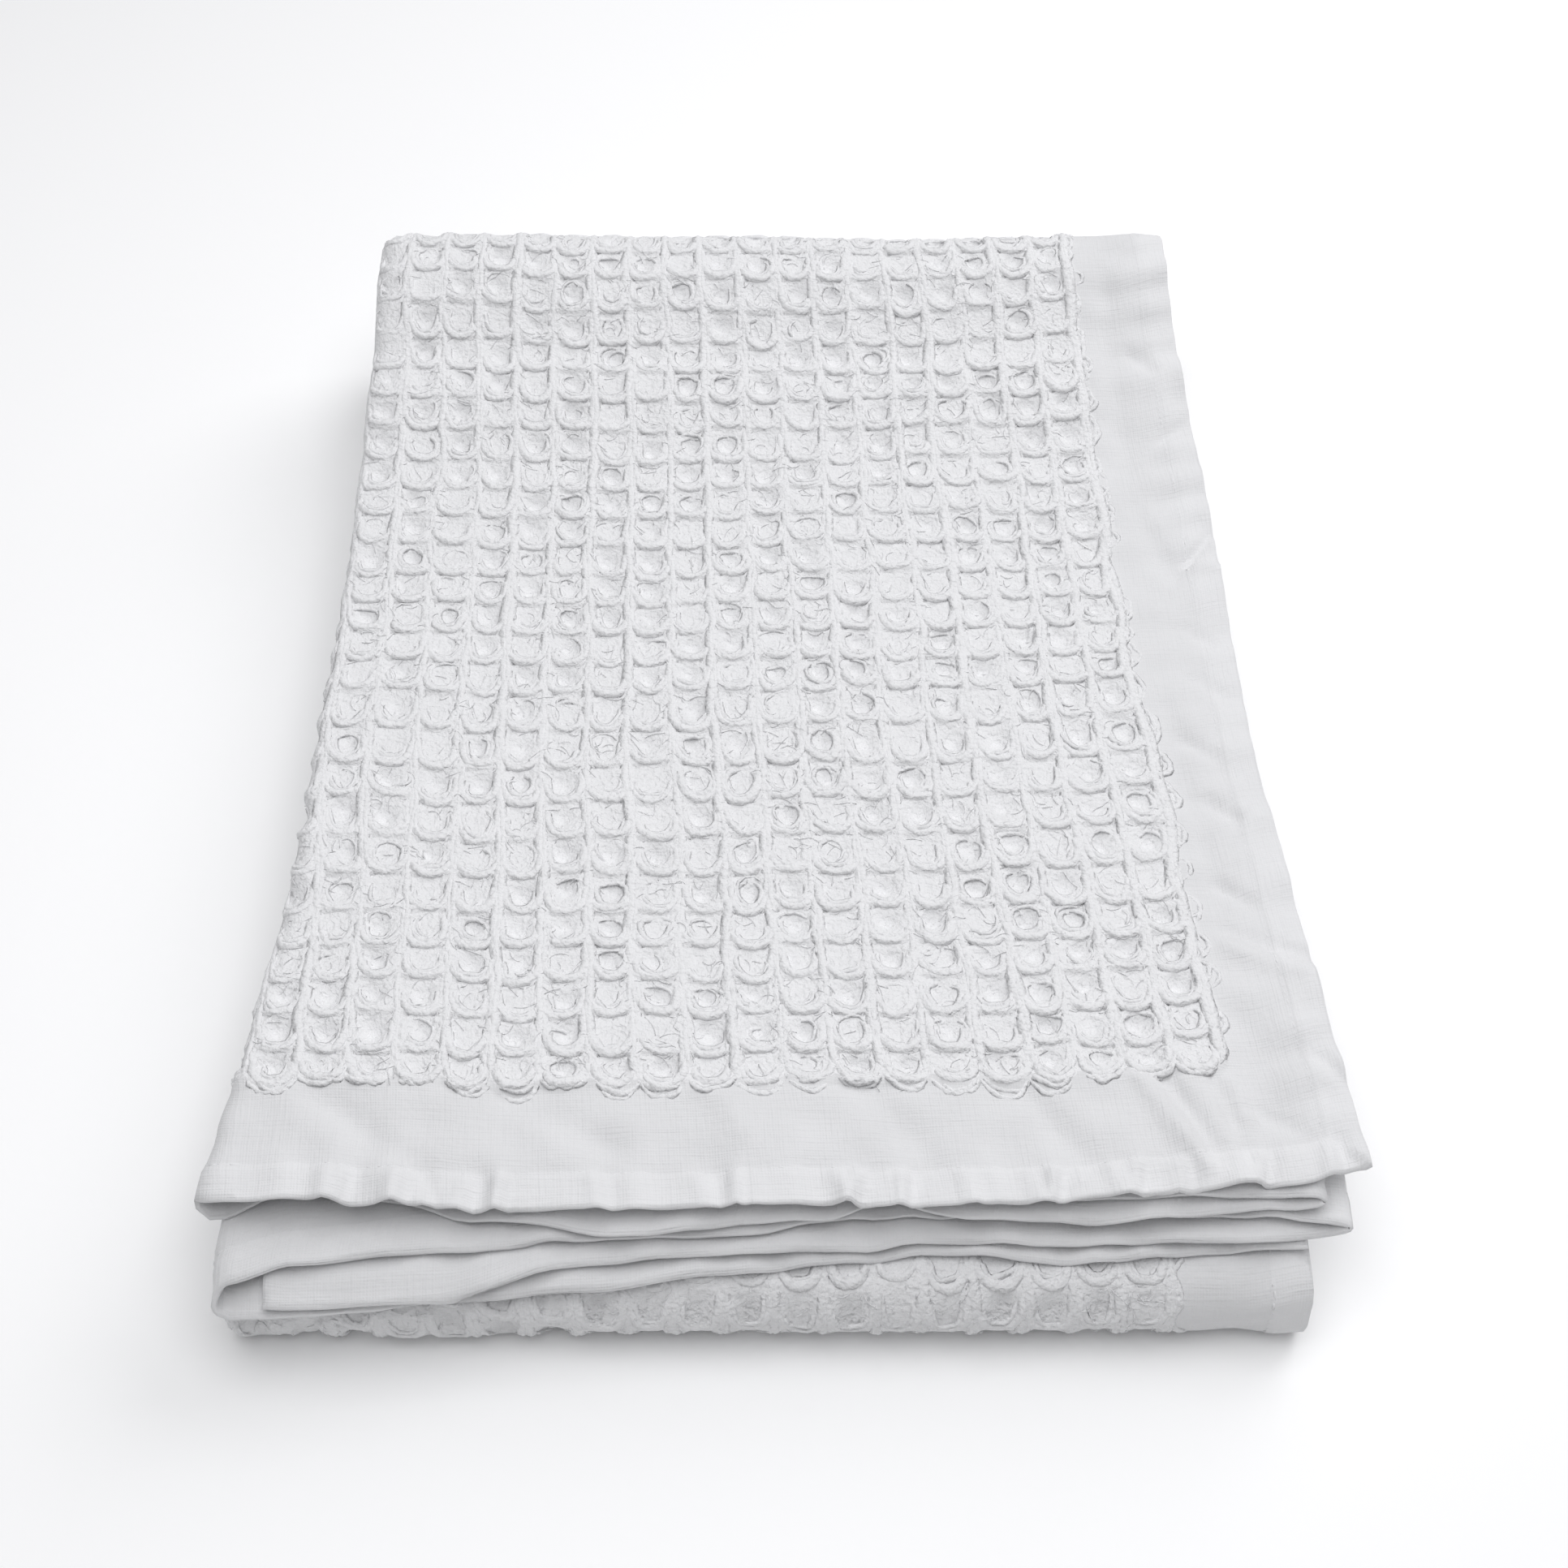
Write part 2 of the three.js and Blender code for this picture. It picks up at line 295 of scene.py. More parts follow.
def flatTables():
    # the form's q and p for an even grid of the flat cloth, from lengths measured along the form
    qs, ps = evenSamples(flatSteps["roll"]), evenSamples(flatSteps["route"])
    # the left fold is part 1 of the roll, the back fold leg 1 of the route
    wrapMiddle, wrapEnd = np.searchsorted(qs, 1.5), np.searchsorted(qs, 2)
    backEnd = np.searchsorted(ps, 2)
    points = formPoint(*np.meshgrid(qs, ps, indexing="ij"))
    stepU = np.linalg.norm(np.diff(points, axis=0), axis=-1)
    stepV = np.linalg.norm(np.diff(points, axis=1), axis=-1)
    reachU = np.concatenate([np.zeros((1, len(ps))), np.cumsum(stepU, 0)])
    reachV = np.concatenate([np.zeros((len(qs), 1)), np.cumsum(stepV, 1)], 1)
    fromWrap = np.abs(reachU - reachU[wrapMiddle][None])
    reachV = mix(reachV[wrapMiddle][None], reachV, ease(fromWrap / cloth["slip"]))
    # the outer layer with its fold and the top with its fold keep their lengths, the others share
    # what is left
    keptU = reachU[wrapEnd]
    past = reachU - keptU[None]
    flatU = np.where(past > 0, keptU[None] + past * ((flatWide - keptU) / past[-1])[None], reachU)
    keptV = reachV[:, backEnd][:, None]
    past = reachV - keptV
    flatV = np.where(past > 0, keptV + past * (flatLong - keptV) / past[:, -1:], reachV)
    us = np.arange(0, flatWide + 1, flatSteps["u"])
    vs = np.arange(0, flatLong + 2, flatSteps["v"])
    qOfU = np.stack([np.interp(us, flatU[:, j], qs) for j in range(len(ps))], 1)
    place = np.clip(np.searchsorted(qs, qOfU, side="right") - 1, 0, len(qs) - 2)
    share = (qOfU - qs[place]) / (qs[place + 1] - qs[place])
    column = np.arange(len(ps))[None]
    vAlong = mix(flatV[place, column], flatV[place + 1, column], share)
    pTable = np.stack([np.interp(vs, vAlong[i], ps) for i in range(len(us))])
    qTable = np.stack([np.interp(vs, vAlong[i], qOfU[i]) for i in range(len(us))])
    return qTable, pTable


formTables = flatTables()
print("flat cloth measured on the form,", round(flatWide), "by", round(flatLong), "mm")


def formPlace(u, v):
    # q and p at a place of the flat cloth
    u = np.clip(u, 0, flatWide - 1e-6) / flatSteps["u"]
    v = np.clip(v, 0, flatLong - 1e-6) / flatSteps["v"]
    i, j = u.astype(int), v.astype(int)
    s, t = u - i, v - j
    found = []
    for table in formTables:
        near = mix(table[i, j], table[i + 1, j], s)
        far = mix(table[i, j + 1], table[i + 1, j + 1], s)
        found.append(mix(near, far, t))
    return found


def placeOnForm(u, v, height):
    q, p = formPlace(u, v)
    normal = formNormal(q, p)
    return formPoint(q, p) + normal * height[..., None], normal


def waves(count, shortest, longest, seed):
    # a fixed set of soft waves: how often each repeats along U and V, and its phase
    draw = np.random.default_rng(seed)
    length = np.exp(draw.uniform(math.log(shortest), math.log(longest), count))
    angle = draw.uniform(0, 2 * math.pi, count)
    return np.cos(angle) / length, np.sin(angle) / length, draw.uniform(0, 2 * math.pi, count)


def ripple(u, v, waveSet):
    total = np.zeros_like(u)
    for alongU, alongV, phase in zip(*waveSet):
        total = total + np.sin(2 * math.pi * (alongU * u + alongV * v) + phase)
    return total / math.sqrt(len(waveSet[0]))


# Honeycomb: ribs along the cloth, a rim that hangs forward across each cell, and a bowl with a ring.
# Heights are over the middle surface
honeycomb = {
    "rib": 1.2,
    "rim": 1.25,
    "ringBack": 0.9,
    "gap": -0.4,  # the dark corners under the rim of the next cell
    "bowl": -2.6,
    "inner": -2.1,  # the hidden face, flat behind the bowls
    "innerTop": -3.0,  # and lower behind the deeper bowls of the open cells
    "openColumns": 22,
    "openRows": ((0, 27), (58, 68)),  # the top and the front fold
    "pressed": 0.6,  # depth of the bowls that lie between other layers
    "foldOpens": 0.25,  # the cells open wider on the front fold
    "foldDeep": (0.7, 1.12),
    "bowlShare": 0.4,  # half width of a bowl, as a share of the cell
    "square": 2.3,  # 2 makes round bowls, more makes them squarer
    "sag": 2.0,  # how far a rim hangs forward between its ribs
    "overhang": 0.7,
    "pillows": 0.2,  # share of the cells that bulge up round
    "barrels": 0.2,  # and of those that bulge up long
}
uneven = {  # how much the cells differ from each other
    "wander": 0.45,  # of the corners
    "firstRib": 0.4,  # the first rib's rows keep this much of their wander
    "firstRibAcross": 0.7,
    "drift": 0.55,  # of whole rows together
    "driftStart": 3,  # cells from the first rib and rim to where the drift is whole
    "ribHigh": 0.18,
    "rimHigh": 0.16,
    "rimSag": 0.35,
    "rimSagLimits": (0.2, 1.8),
    "deep": (0.9, 0.2),  # mean and spread of the bowls' depth
    "deepLimits": (0.4, 1.04),
    "middle": 0.035,  # of the bowls, as shares of the cell
    "size": 0.09,
    "sizeLimits": (0.78, 1.2),
}
cellShape = {  # places in one cell as shares of its size, from its front rim or from its middle
    "arc": 2.4,  # 2 makes round rims, more makes them flatter in the middle
    "sagHalf": 0.5,  # the rim's sag fades to this place behind it
    "sagBack": (0.55, 1.0),
    "sagBowl": 0.55,  # share of the sag that the bowl keeps
    "overhangLong": 0.4,
    "rimFalls": (0.08, 0.23),
    "gapFalls": (0.82, 0.92),
    "gapMiddle": 0.5,  # how far the gap lies under the rim between its dark corners
    "gapCorners": (0.3, 0.6),
    "ringFalls": (0.2, 0.8),
    "ringEdge": (0.02, 0.12),
    "ringSinks": 0.5,
    "bowlRises": (0.15, 0.9),
    # bulges: half width, how soft their shoulders are, how far they stay under the rim
    "pillow": {"wide": 0.36, "soft": 0.9, "sinks": 0.45},
    "barrel": {"wide": 0.2, "soft": 0.6, "sinks": 0.9, "ends": (0.36, 0.46)},
    "ribFalls": (0.1, 0.22),
    "rimLine": (0, 0.02),
}
columns, rows = cloth["columns"], cloth["rows"]
nodes, cells = (columns + 1, rows + 1), (columns, rows)
nodeU = rng.normal(0, uneven["wander"], nodes)
nodeV = rng.normal(0, uneven["wander"], nodes)
nodeHigh = rng.normal(0, uneven["ribHigh"], nodes)
rimSag = np.clip(rng.normal(1, uneven["rimSag"], (columns, rows + 1)), *uneven["rimSagLimits"])
rimHigh = rng.normal(0, uneven["rimHigh"], (columns, rows + 1))
cellDeep = np.clip(rng.normal(*uneven["deep"], cells), *uneven["deepLimits"])
isOpen = np.zeros(cells, bool)
for firstRow, lastRow in honeycomb["openRows"]:
    isOpen[:honeycomb["openColumns"], firstRow:lastRow] = True
cellDeep = np.where(isOpen, cellDeep, honeycomb["pressed"] * cellDeep)
onFold = (slice(honeycomb["openColumns"]), slice(*honeycomb["openRows"][1]))
cellDeep[onFold] = np.clip(cellDeep[onFold] + honeycomb["foldOpens"], *honeycomb["foldDeep"])
cellKind = rng.random(cells)
isPillow = cellKind < honeycomb["pillows"]
isBarrel = cellKind > 1 - honeycomb["barrels"]
cellMiddle = rng.normal(0, uneven["middle"], (2, columns, rows))
cellSize = np.clip(rng.normal(1, uneven["size"], cells), *uneven["sizeLimits"])
nodeU[:, 0] *= uneven["firstRib"]
nodeU[0] += rng.normal(0, uneven["firstRibAcross"], rows + 1)
driftWaves = waves(count=5, shortest=60, longest=190, seed=3)


def cellOf(gu, gv):
    # the cell of a place given in cells
    return np.clip(gu.astype(int), 0, columns - 1), np.clip(gv.astype(int), 0, rows - 1)


def nodeMix(values, gu, gv):
    i, j = cellOf(gu, gv)
    s, t = np.clip(gu - i, 0, 1), np.clip(gv - j, 0, 1)
    return mix(mix(values[i, j], values[i + 1, j], s), mix(values[i, j + 1], values[i + 1, j + 1], s), t)


def borderEdge(v):
    # U of the first rib: uneven on top, then an even border
    onTop = look(plan, "along", v, "free") - np.interp(v, honeycombEdge["v"], honeycombEdge["x"])
    return mix(onTop, borderWide, ease((v - honeycombEdge["v"][-1]) / honeycombEdge["merge"]))


def rowPlace(gv):
    # V of a row line: the rows on top are uneven, all others evenly share the rest
    first = np.interp(gv, topRows["row"], topRows["v"])
    lastRow, lastV = topRows["row"][-1], topRows["v"][-1]
    rest = lastV + (gv - lastRow) * (flatLong - borderWide - lastV) / (rows - lastRow)
    return np.where(gv < lastRow, first, rest)


def cellFlat(gu, gv):
    # flat place of a point given in cells; gu 0 is the first rib, gv 0 the first rim
    v = rowPlace(gv) + nodeMix(nodeV, gu, gv)
    drift = uneven["drift"] * ripple(gu * cloth["pitch"], gv * cloth["pitch"], driftWaves)
    v = v + drift * ease(gv / uneven["driftStart"])
    edge = borderEdge(v)
    u = edge + (flatWide - borderWide - edge) * gu / columns + nodeMix(nodeU, gu, gv)
    u = u + drift * ease(gu / uneven["driftStart"])
    i, j = cellOf(gu, gv)
    s, t = np.clip(gu - i, 0, 1), np.clip(gv - j, 0, 1)
    arc = 1 - np.abs(2 * s - 1) ** cellShape["arc"]
    sagShare = mix(rimSag[i, j], rimSag[i, j + 1], t)
    backStart, backEnd = cellShape["sagBack"]
    nearRim = np.maximum(1 - t / cellShape["sagHalf"], (t - backStart) / (backEnd - backStart))
    sagHere = mix(cellShape["sagBowl"], 1, np.clip(nearRim, 0, 1))
    v = v - honeycomb["sag"] * sagShare * arc * sagHere
    v = v - honeycomb["overhang"] * np.clip(1 - t / cellShape["overhangLong"], 0, 1) * arc
    return u, v


def bulge(kind, away):
    return np.clip(1 - (away / kind["wide"]) ** 2, 0, 1) ** kind["soft"]


def cellHeight(gu, gv):
    i, j = cellOf(gu, gv)
    s, t = gu - i, np.clip(gv - j, 0, 1)
    sideways = np.abs(s - 0.5 - cellMiddle[0, i, j])
    lengthways = np.abs(t - 0.5 - cellMiddle[1, i, j])
    away = (sideways ** honeycomb["square"] + lengthways ** honeycomb["square"]) ** (1 / honeycomb["square"])
    bowlEdge = honeycomb["bowlShare"] * cellSize[i, j]
    ring = mix(honeycomb["rim"], honeycomb["ringBack"], rise(t, *cellShape["ringFalls"]))
    ring = ring - cellShape["ringSinks"] * rise(away - bowlEdge, *cellShape["ringEdge"])
    floor = mix(honeycomb["bowl"] * cellDeep[i, j], ring, rise(away / bowlEdge, *cellShape["bowlRises"]))
    pillow, barrel = cellShape["pillow"], cellShape["barrel"]
    pillowTop = mix(floor, honeycomb["rim"] - pillow["sinks"], bulge(pillow, away))
    floor = np.where(isPillow[i, j], pillowTop, floor)
    barrelShare = bulge(barrel, s - 0.5) * (1 - rise(np.abs(t - 0.5), *barrel["ends"]))
    floor = np.where(isBarrel[i, j], mix(floor, honeycomb["rim"] - barrel["sinks"], barrelShare), floor)
    rim = honeycomb["rim"] + mix(rimHigh[i, j], rimHigh[i, j + 1], ease(t))
    height = mix(floor, rim, 1 - rise(t, *cellShape["rimFalls"]))
    corner = rise(np.abs(2 * s - 1), *cellShape["gapCorners"])
    gap = mix(rim - cellShape["gapMiddle"], honeycomb["gap"], corner)
    height = mix(height, gap, rise(t, *cellShape["gapFalls"]))
    onRib = 1 - rise(0.5 - np.abs(s - 0.5), *cellShape["ribFalls"])
    height = mix(height, honeycomb["rib"] + nodeMix(nodeHigh, gu, gv), onRib)
    return mix(height, np.maximum(height, rim), 1 - rise(t, *cellShape["rimLine"]))


# Plain borders: hem turned and stitched, gathered a little by its stitches
border = {
    "wrinkle": 0.5,
    "wrinkleStart": 12,  # wrinkles reach their full height this far from the edge
    "pucker": 0.78,
    "puckerReach": 9,
    "stitchSink": 0.4,
    "stitchWide": 1.1,
    "hemStep": (-0.4, 0.8),  # the hem's double thickness ends round the stitch line
    "edgeWave": 0.8,
    "edgeWaveReach": 9,
    "edgeWander": 0.5,
    "edgeWanderReach": 12,
    "sideApart": 37.0,  # keeps the waves of the four sides apart
    "crease": 1.35,
}
wrinkleWaves = waves(count=14, shortest=16, longest=80, seed=5)
puckerWaves = waves(count=10, shortest=11, longest=26, seed=8)
edgeWaves = waves(count=8, shortest=16, longest=60, seed=9)
# pleats of the first hem on top: place along the hem, half width and slant in millimetres
pleats = {
    "u": [12, 33, 44, 58, 71, 79, 96, 105, 124, 142, 156, 163, 193, 204, 236, 264, 274, 291, 295, 312, 317],
    "wide": [4, 3, 5, 3.5, 3, 4, 3, 2.5, 3.5, 3, 4, 3, 2.5, 5, 4, 3, 4, 3, 4, 3.5, 3],
    "slant": [1, 3, -4, 2, 3, -2, 3, -3, -2, 2, 4, -3, 1, -2, -1, 2, 3, -4, 2, 3, 1],
}
pleatShape = {
    "high": 1.8,
    "narrow": 0.8,
    "trough": 0.7,  # beside each ridge, as a share of its height
    "troughAway": 1.3,
    "fade": (-3, 2),  # past the stitch line
    "bySlant": (0.7, 1.2),
    "mostSlant": 4,
    "hem": {"v": 20, "u": 340},  # only the first hem of the top layer has them
}
# creases of the top: the flat places of the two ends, half width and height
creases = [
    ((60, 50), (44, 8), 2.8, -1.5),
    ((66, 46), (50, 8), 3.2, 1.3),
    ((104, 46), (86, 12), 5, -1.1),
    ((152, 44), (134, 16), 6, -1.0),
    ((42.5, 38), (38, 22), 2, -1.0),
    ((36.5, 37), (33, 24), 2, 0.9),
    ((33, 27), (20, 20), 2.3, -0.9),
    ((40, 24), (36, 8), 2.4, -0.9),
    ((28, 60), (26, 22), 9, -1.2),
    ((25, 96), (1, 79), 3, -1.3),
    ((26, 89), (4, 73), 3.5, 1.1),
    ((7, 40), (0, 30), 2.6, -1.3),
    ((24, 116), (16, 107), 2.6, -1.4),
    ((21, 153), (13, 143), 2.8, -1.4),
    ((24, 181), (15, 172), 2.6, -1.2),
    ((29, 196), (26, 110), 5, -1.0),
    ((13, 268), (1, 281), 2.2, -1.3),
    ((13, 266), (0, 262), 2.2, 1.1),
    ((30, 300), (18, 262), 4, -0.8),
    ((13, 333), (0, 341), 2.2, -0.9),
    ((17, 210), (8, 200), 2.6, -0.9),
    ((18, 236), (9, 226), 3, -0.9),
    ((20, 380), (12, 368), 3, -0.9),
    ((27, 420), (30, 320), 5, -0.8),
    ((200, 42), (182, 15), 5, 0.8),
    ((262, 38), (232, 22), 5, -0.9),
    ((322, 36), (296, 18), 5, -0.9),
]


def edgeDistance(u, v):
    # distance to the nearest edge of the cloth, the place along that edge and its number, of which
    # 0 and 1 run along V
    sides = np.stack([u, flatWide - u, v, flatLong - v])
    nearest = sides.argmin(0)
    alongEdge = np.where(nearest < 2, v, u)
    return np.maximum(sides.min(0), 0), alongEdge, nearest


def pleatHeight(u, v):
    shape = pleatShape
    total = np.zeros_like(u)
    reach = 1 - rise(v - stitchLine, *shape["fade"])
    for place, wide, slant in zip(*(pleats[name] for name in ("u", "wide", "slant"))):
        away = (u - place - slant * (1 - v / stitchLine)) / (shape["narrow"] * wide)
        ridge = np.exp(-away ** 2) - shape["trough"] * np.exp(-(away + shape["troughAway"]) ** 2)
        slantShare = (slant + shape["mostSlant"]) / (2 * shape["mostSlant"])
        total = total + ridge * reach * mix(*shape["bySlant"], slantShare)
    onHem = (v < shape["hem"]["v"]) & (u < shape["hem"]["u"])
    return np.where(onHem, total * shape["high"], 0)


def creaseHeight(u, v):
    total = np.zeros_like(u)
    for (u0, v0), (u1, v1), wide, high in creases:
        longSquared = (u1 - u0) ** 2 + (v1 - v0) ** 2
        share = ((u - u0) * (u1 - u0) + (v - v0) * (v1 - v0)) / longSquared
        within = np.clip(share, 0, 1)
        away = np.hypot(u - mix(u0, u1, within), v - mix(v0, v1, within))
        total = total + high * np.exp(-(away / wide) ** 2)
    return total * border["crease"]


def borderHeight(u, v):
    distance, alongEdge, nearest = edgeDistance(u, v)
    side = nearest * border["sideApart"]
    inHem = np.exp(-np.maximum(distance - stitchLine, 0) / border["puckerReach"])
    pucker = ripple(alongEdge, side, puckerWaves) * border["pucker"] * inHem
    sink = -border["stitchSink"] * np.exp(-((distance - stitchLine) / border["stitchWide"]) ** 2)
    wrinkle = ripple(u, v, wrinkleWaves) * border["wrinkle"] * ease(distance / border["wrinkleStart"])
    nearEdge = np.exp(-distance / border["edgeWaveReach"])
    wave = ripple(alongEdge, side, edgeWaves) * border["edgeWave"] * nearEdge
    return pucker + sink + wrinkle + wave + pleatHeight(u, v) + creaseHeight(u, v)


def halfThick(u, v):
    inHem = 1 - rise(edgeDistance(u, v)[0] - stitchLine, *border["hemStep"])
    return mix(cloth["plainThick"], cloth["hemThick"], inHem) / 2


# Mesh of the cloth: patches with their own number of steps, sharing the finer steps at their edges.
# A patch is one cell of the honeycomb or a like stretch of the border
steps = 8  # most steps of a patch
borderPatches = len(borderLines) - 1
patchesU = columns + 2 * borderPatches
patchesV = rows + 2 * borderPatches
hemPatches = 2  # rows of finer patches at the hems and the free edge
# where the steps of a patch lie, closer together at its ribs and rims
warpAcross = np.array([0, 0.09, 0.2, 0.34, 0.5, 0.66, 0.8, 0.91, 1])
warpAlong = np.array([0, 0.07, 0.19, 0.33, 0.49, 0.65, 0.8, 0.93, 1])
turnPerStep = {"outer": 20, "inner": 24}  # degrees
leastSteps = {  # across and along a patch, by where it lies
    "outer": {"shown": (8, 8), "rounded": (8, 4), "below": (4, 2), "sides": (4, 4), "hem": (4, 4),
              "edge": (2, 4)},
    "inner": {"hem": (4, 4), "edge": (2, 2)},
}
outerFace, innerFace, edgeMiddle = 0, 1, 2
plainKind, honeycombKind, hemKind = 0, 1, 2


def edgeShare(patch, step, patches, isFirst):
    # share of the border's width, from the edge, at a step of a border patch
    fromStart = patch + step / steps
    place = np.where(isFirst, fromStart, patches - fromStart)
    return np.interp(place, range(borderPatches + 1), borderLines) / borderWide


def vertexPlace(iu, iv):
    # flat place and height over the middle surface for whole steps iu, iv of the mesh
    patchU = np.minimum(iu // steps, patchesU - 1)
    patchV = np.minimum(iv // steps, patchesV - 1)
    a, b = iu - patchU * steps, iv - patchV * steps
    gu = patchU - borderPatches + warpAcross[a]
    gv = patchV - borderPatches + warpAlong[b]
    inside = (gu >= 0) & (gu <= columns) & (gv >= 0) & (gv <= rows)
    guIn, gvIn = np.clip(gu, 0, columns), np.clip(gv, 0, rows)
    u, v = cellFlat(guIn, gvIn)
    nearU = edgeShare(patchU, a, patchesU, gu < 0)
    nearV = edgeShare(patchV, b, patchesV, gv < 0)
    # between the cloth's edge and the honeycomb's outline
    u = np.where(gu < 0, u * nearU, np.where(gu > columns, flatWide - (flatWide - u) * nearU, u))
    v = np.where(gv < 0, v * nearV, np.where(gv > rows, flatLong - (flatLong - v) * nearV, v))
    height = np.where(inside, cellHeight(guIn, gvIn), 0)
    reach = border["edgeWanderReach"]
    inward = border["edgeWander"] * (1 + ripple(u + v, 0 * u, edgeWaves)) / 2
    u = u + inward * np.where(u < flatWide / 2, np.exp(-u / reach), -np.exp(-(flatWide - u) / reach))
    v = v + inward * np.where(v < flatLong / 2, np.exp(-v / reach), -np.exp(-(flatLong - v) / reach))
    return u, v, height, inside


def turning(axis):
    # total turn of the form's normal across each patch, in degrees
    total = np.zeros((patchesU, patchesV))
    cornerU, cornerV = np.meshgrid(np.arange(patchesU) * steps, np.arange(patchesV) * steps, indexing="ij")
    last = None
    for step in range(steps + 1):
        stepU = cornerU + (step if axis == 0 else steps // 2)
        stepV = cornerV + (step if axis == 1 else steps // 2)
        u, v, _, _ = vertexPlace(stepU, stepV)
        normal = formNormal(*formPlace(u, v))
        if last is not None:
            total = total + np.degrees(np.arccos(np.clip((normal * last).sum(-1), -1, 1)))
        last = normal
    return total


def wholeSteps(wanted):
    # the next power of two, so that neighbouring patches share their corners
    return np.clip(2 ** np.ceil(np.log2(np.maximum(wanted, 1))), 1, steps).astype(int)


def patchSteps():
    # steps across and along each patch, for the outer and the inner face
    centreU, centreV = np.meshgrid(np.arange(patchesU), np.arange(patchesV), indexing="ij")
    u, v, _, _ = vertexPlace(centreU * steps + steps // 2, centreV * steps + steps // 2)
    q, p = formPlace(u, v)
    part, leg = np.minimum(q.astype(int), rollParts - 1), np.minimum(p.astype(int), len(route) - 1)
    # the outer layer on top, round the back and front folds, and under the stack
    where = {
        "shown": (part == 0) & (leg == 0),
        "rounded": (part == 0) & ((leg == 1) | (leg == 3)),
        "below": (part == 0) & (leg == 2),
        "sides": (part == 1) | (part == 3),
        "hem": (centreV < hemPatches) | (centreV >= patchesV - hemPatches),
        "edge": centreU < hemPatches,
    }
    turnU, turnV = turning(0), turning(1)
    faceSteps = []
    for face in ("outer", "inner"):
        stepsU, stepsV = wholeSteps(turnU / turnPerStep[face]), wholeSteps(turnV / turnPerStep[face])
        for place, (leastU, leastV) in leastSteps[face].items():
            stepsU = np.where(where[place], np.maximum(stepsU, leastU), stepsU)
            stepsV = np.where(where[place], np.maximum(stepsV, leastV), stepsV)
        faceSteps.append((stepsU, stepsV))
    return faceSteps


def vertexKey(face, u, v):
    # one number for each possible vertex of the mesh
    return (face * (patchesU * steps + 1) + u) * (patchesV * steps + 1) + v


def facePolygons(face, resU, resV, rimU, rimV):
    # a patch takes the finer steps of a neighbour along the side that they share
    polygons, kinds = [], []
    lastU, lastV = patchesU - 1, patchesV - 1
    for i in range(patchesU):
        for j in range(patchesV):
            ru, rv = int(resU[i, j]), int(resV[i, j])
            su, sv = steps // ru, steps // rv
            front = steps // max(ru, int(resU[i, j - 1] if j else rimU[0][i]))
            back = steps // max(ru, int(resU[i, j + 1] if j < lastV else rimU[1][i]))
            right = steps // max(rv, int(resV[i - 1, j] if i else rimV[0][j]))
            left = steps // max(rv, int(resV[i + 1, j] if i < lastU else rimV[1][j]))
            fromEdge = min(i, lastU - i, j, lastV - j)
            kind = hemKind if fromEdge == 0 else plainKind if fromEdge < borderPatches else honeycombKind
            for a in range(ru):
                u0 = i * steps + a * su
                u1 = u0 + su
                for b in range(rv):
                    v0 = j * steps + b * sv
                    v1 = v0 + sv
                    ring = [vertexKey(face, u, v0) for u in range(u0, u1, front if b == 0 else su)]
                    ring += [vertexKey(face, u1, v) for v in range(v0, v1, left if a == ru - 1 else sv)]
                    ring += [vertexKey(face, u, v1) for u in range(u1, u0, -(back if b == rv - 1 else su))]
                    ring += [vertexKey(face, u0, v) for v in range(v1, v0, -(right if a == 0 else sv))]
                    polygons.append(ring[::-1] if face == outerFace else ring)
                    kinds.append(kind)
    return polygons, kinds


def edgeSteps(counts):
    # steps along one side of the cloth, from the number that each patch has
    return [k for i, n in enumerate(counts) for k in range(i * steps, (i + 1) * steps, steps // int(n))]


def clothPolygons():
    faceSteps = patchSteps()
    wide, long = patchesU * steps, patchesV * steps
    rimU = [np.maximum(faceSteps[0][0][:, j], faceSteps[1][0][:, j]) for j in (0, patchesV - 1)]
    rimV = [np.maximum(faceSteps[0][1][i], faceSteps[1][1][i]) for i in (0, patchesU - 1)]
    polygons, kinds = [], []
    for face, (resU, resV) in enumerate(faceSteps):
        facePart = facePolygons(face, resU, resV, rimU, rimV)
        polygons += facePart[0]
        kinds += facePart[1]
    # rounded edge: a strip from each face to a line between them
    loop = [(u, 0) for u in edgeSteps(rimU[0])]
    loop += [(wide, v) for v in edgeSteps(rimV[1])]
    loop += [(wide - u, long) for u in edgeSteps(rimU[1][::-1])]
    loop += [(0, long - v) for v in edgeSteps(rimV[0][::-1])]
    for (u0, v0), (u1, v1) in zip(loop, loop[1:] + loop[:1]):
        outer, middle, inner = ([vertexKey(face, u0, v0), vertexKey(face, u1, v1)]
                                for face in (outerFace, edgeMiddle, innerFace))
        polygons.append([outer[0], outer[1], middle[1], middle[0]])
        polygons.append([middle[0], middle[1], inner[1], inner[0]])
        kinds += [hemKind, hemKind]
    return polygons, kinds


def addToScene(name, data):
    thing = bpy.data.objects.new(name, data)
    bpy.context.scene.collection.objects.link(thing)
    return thing


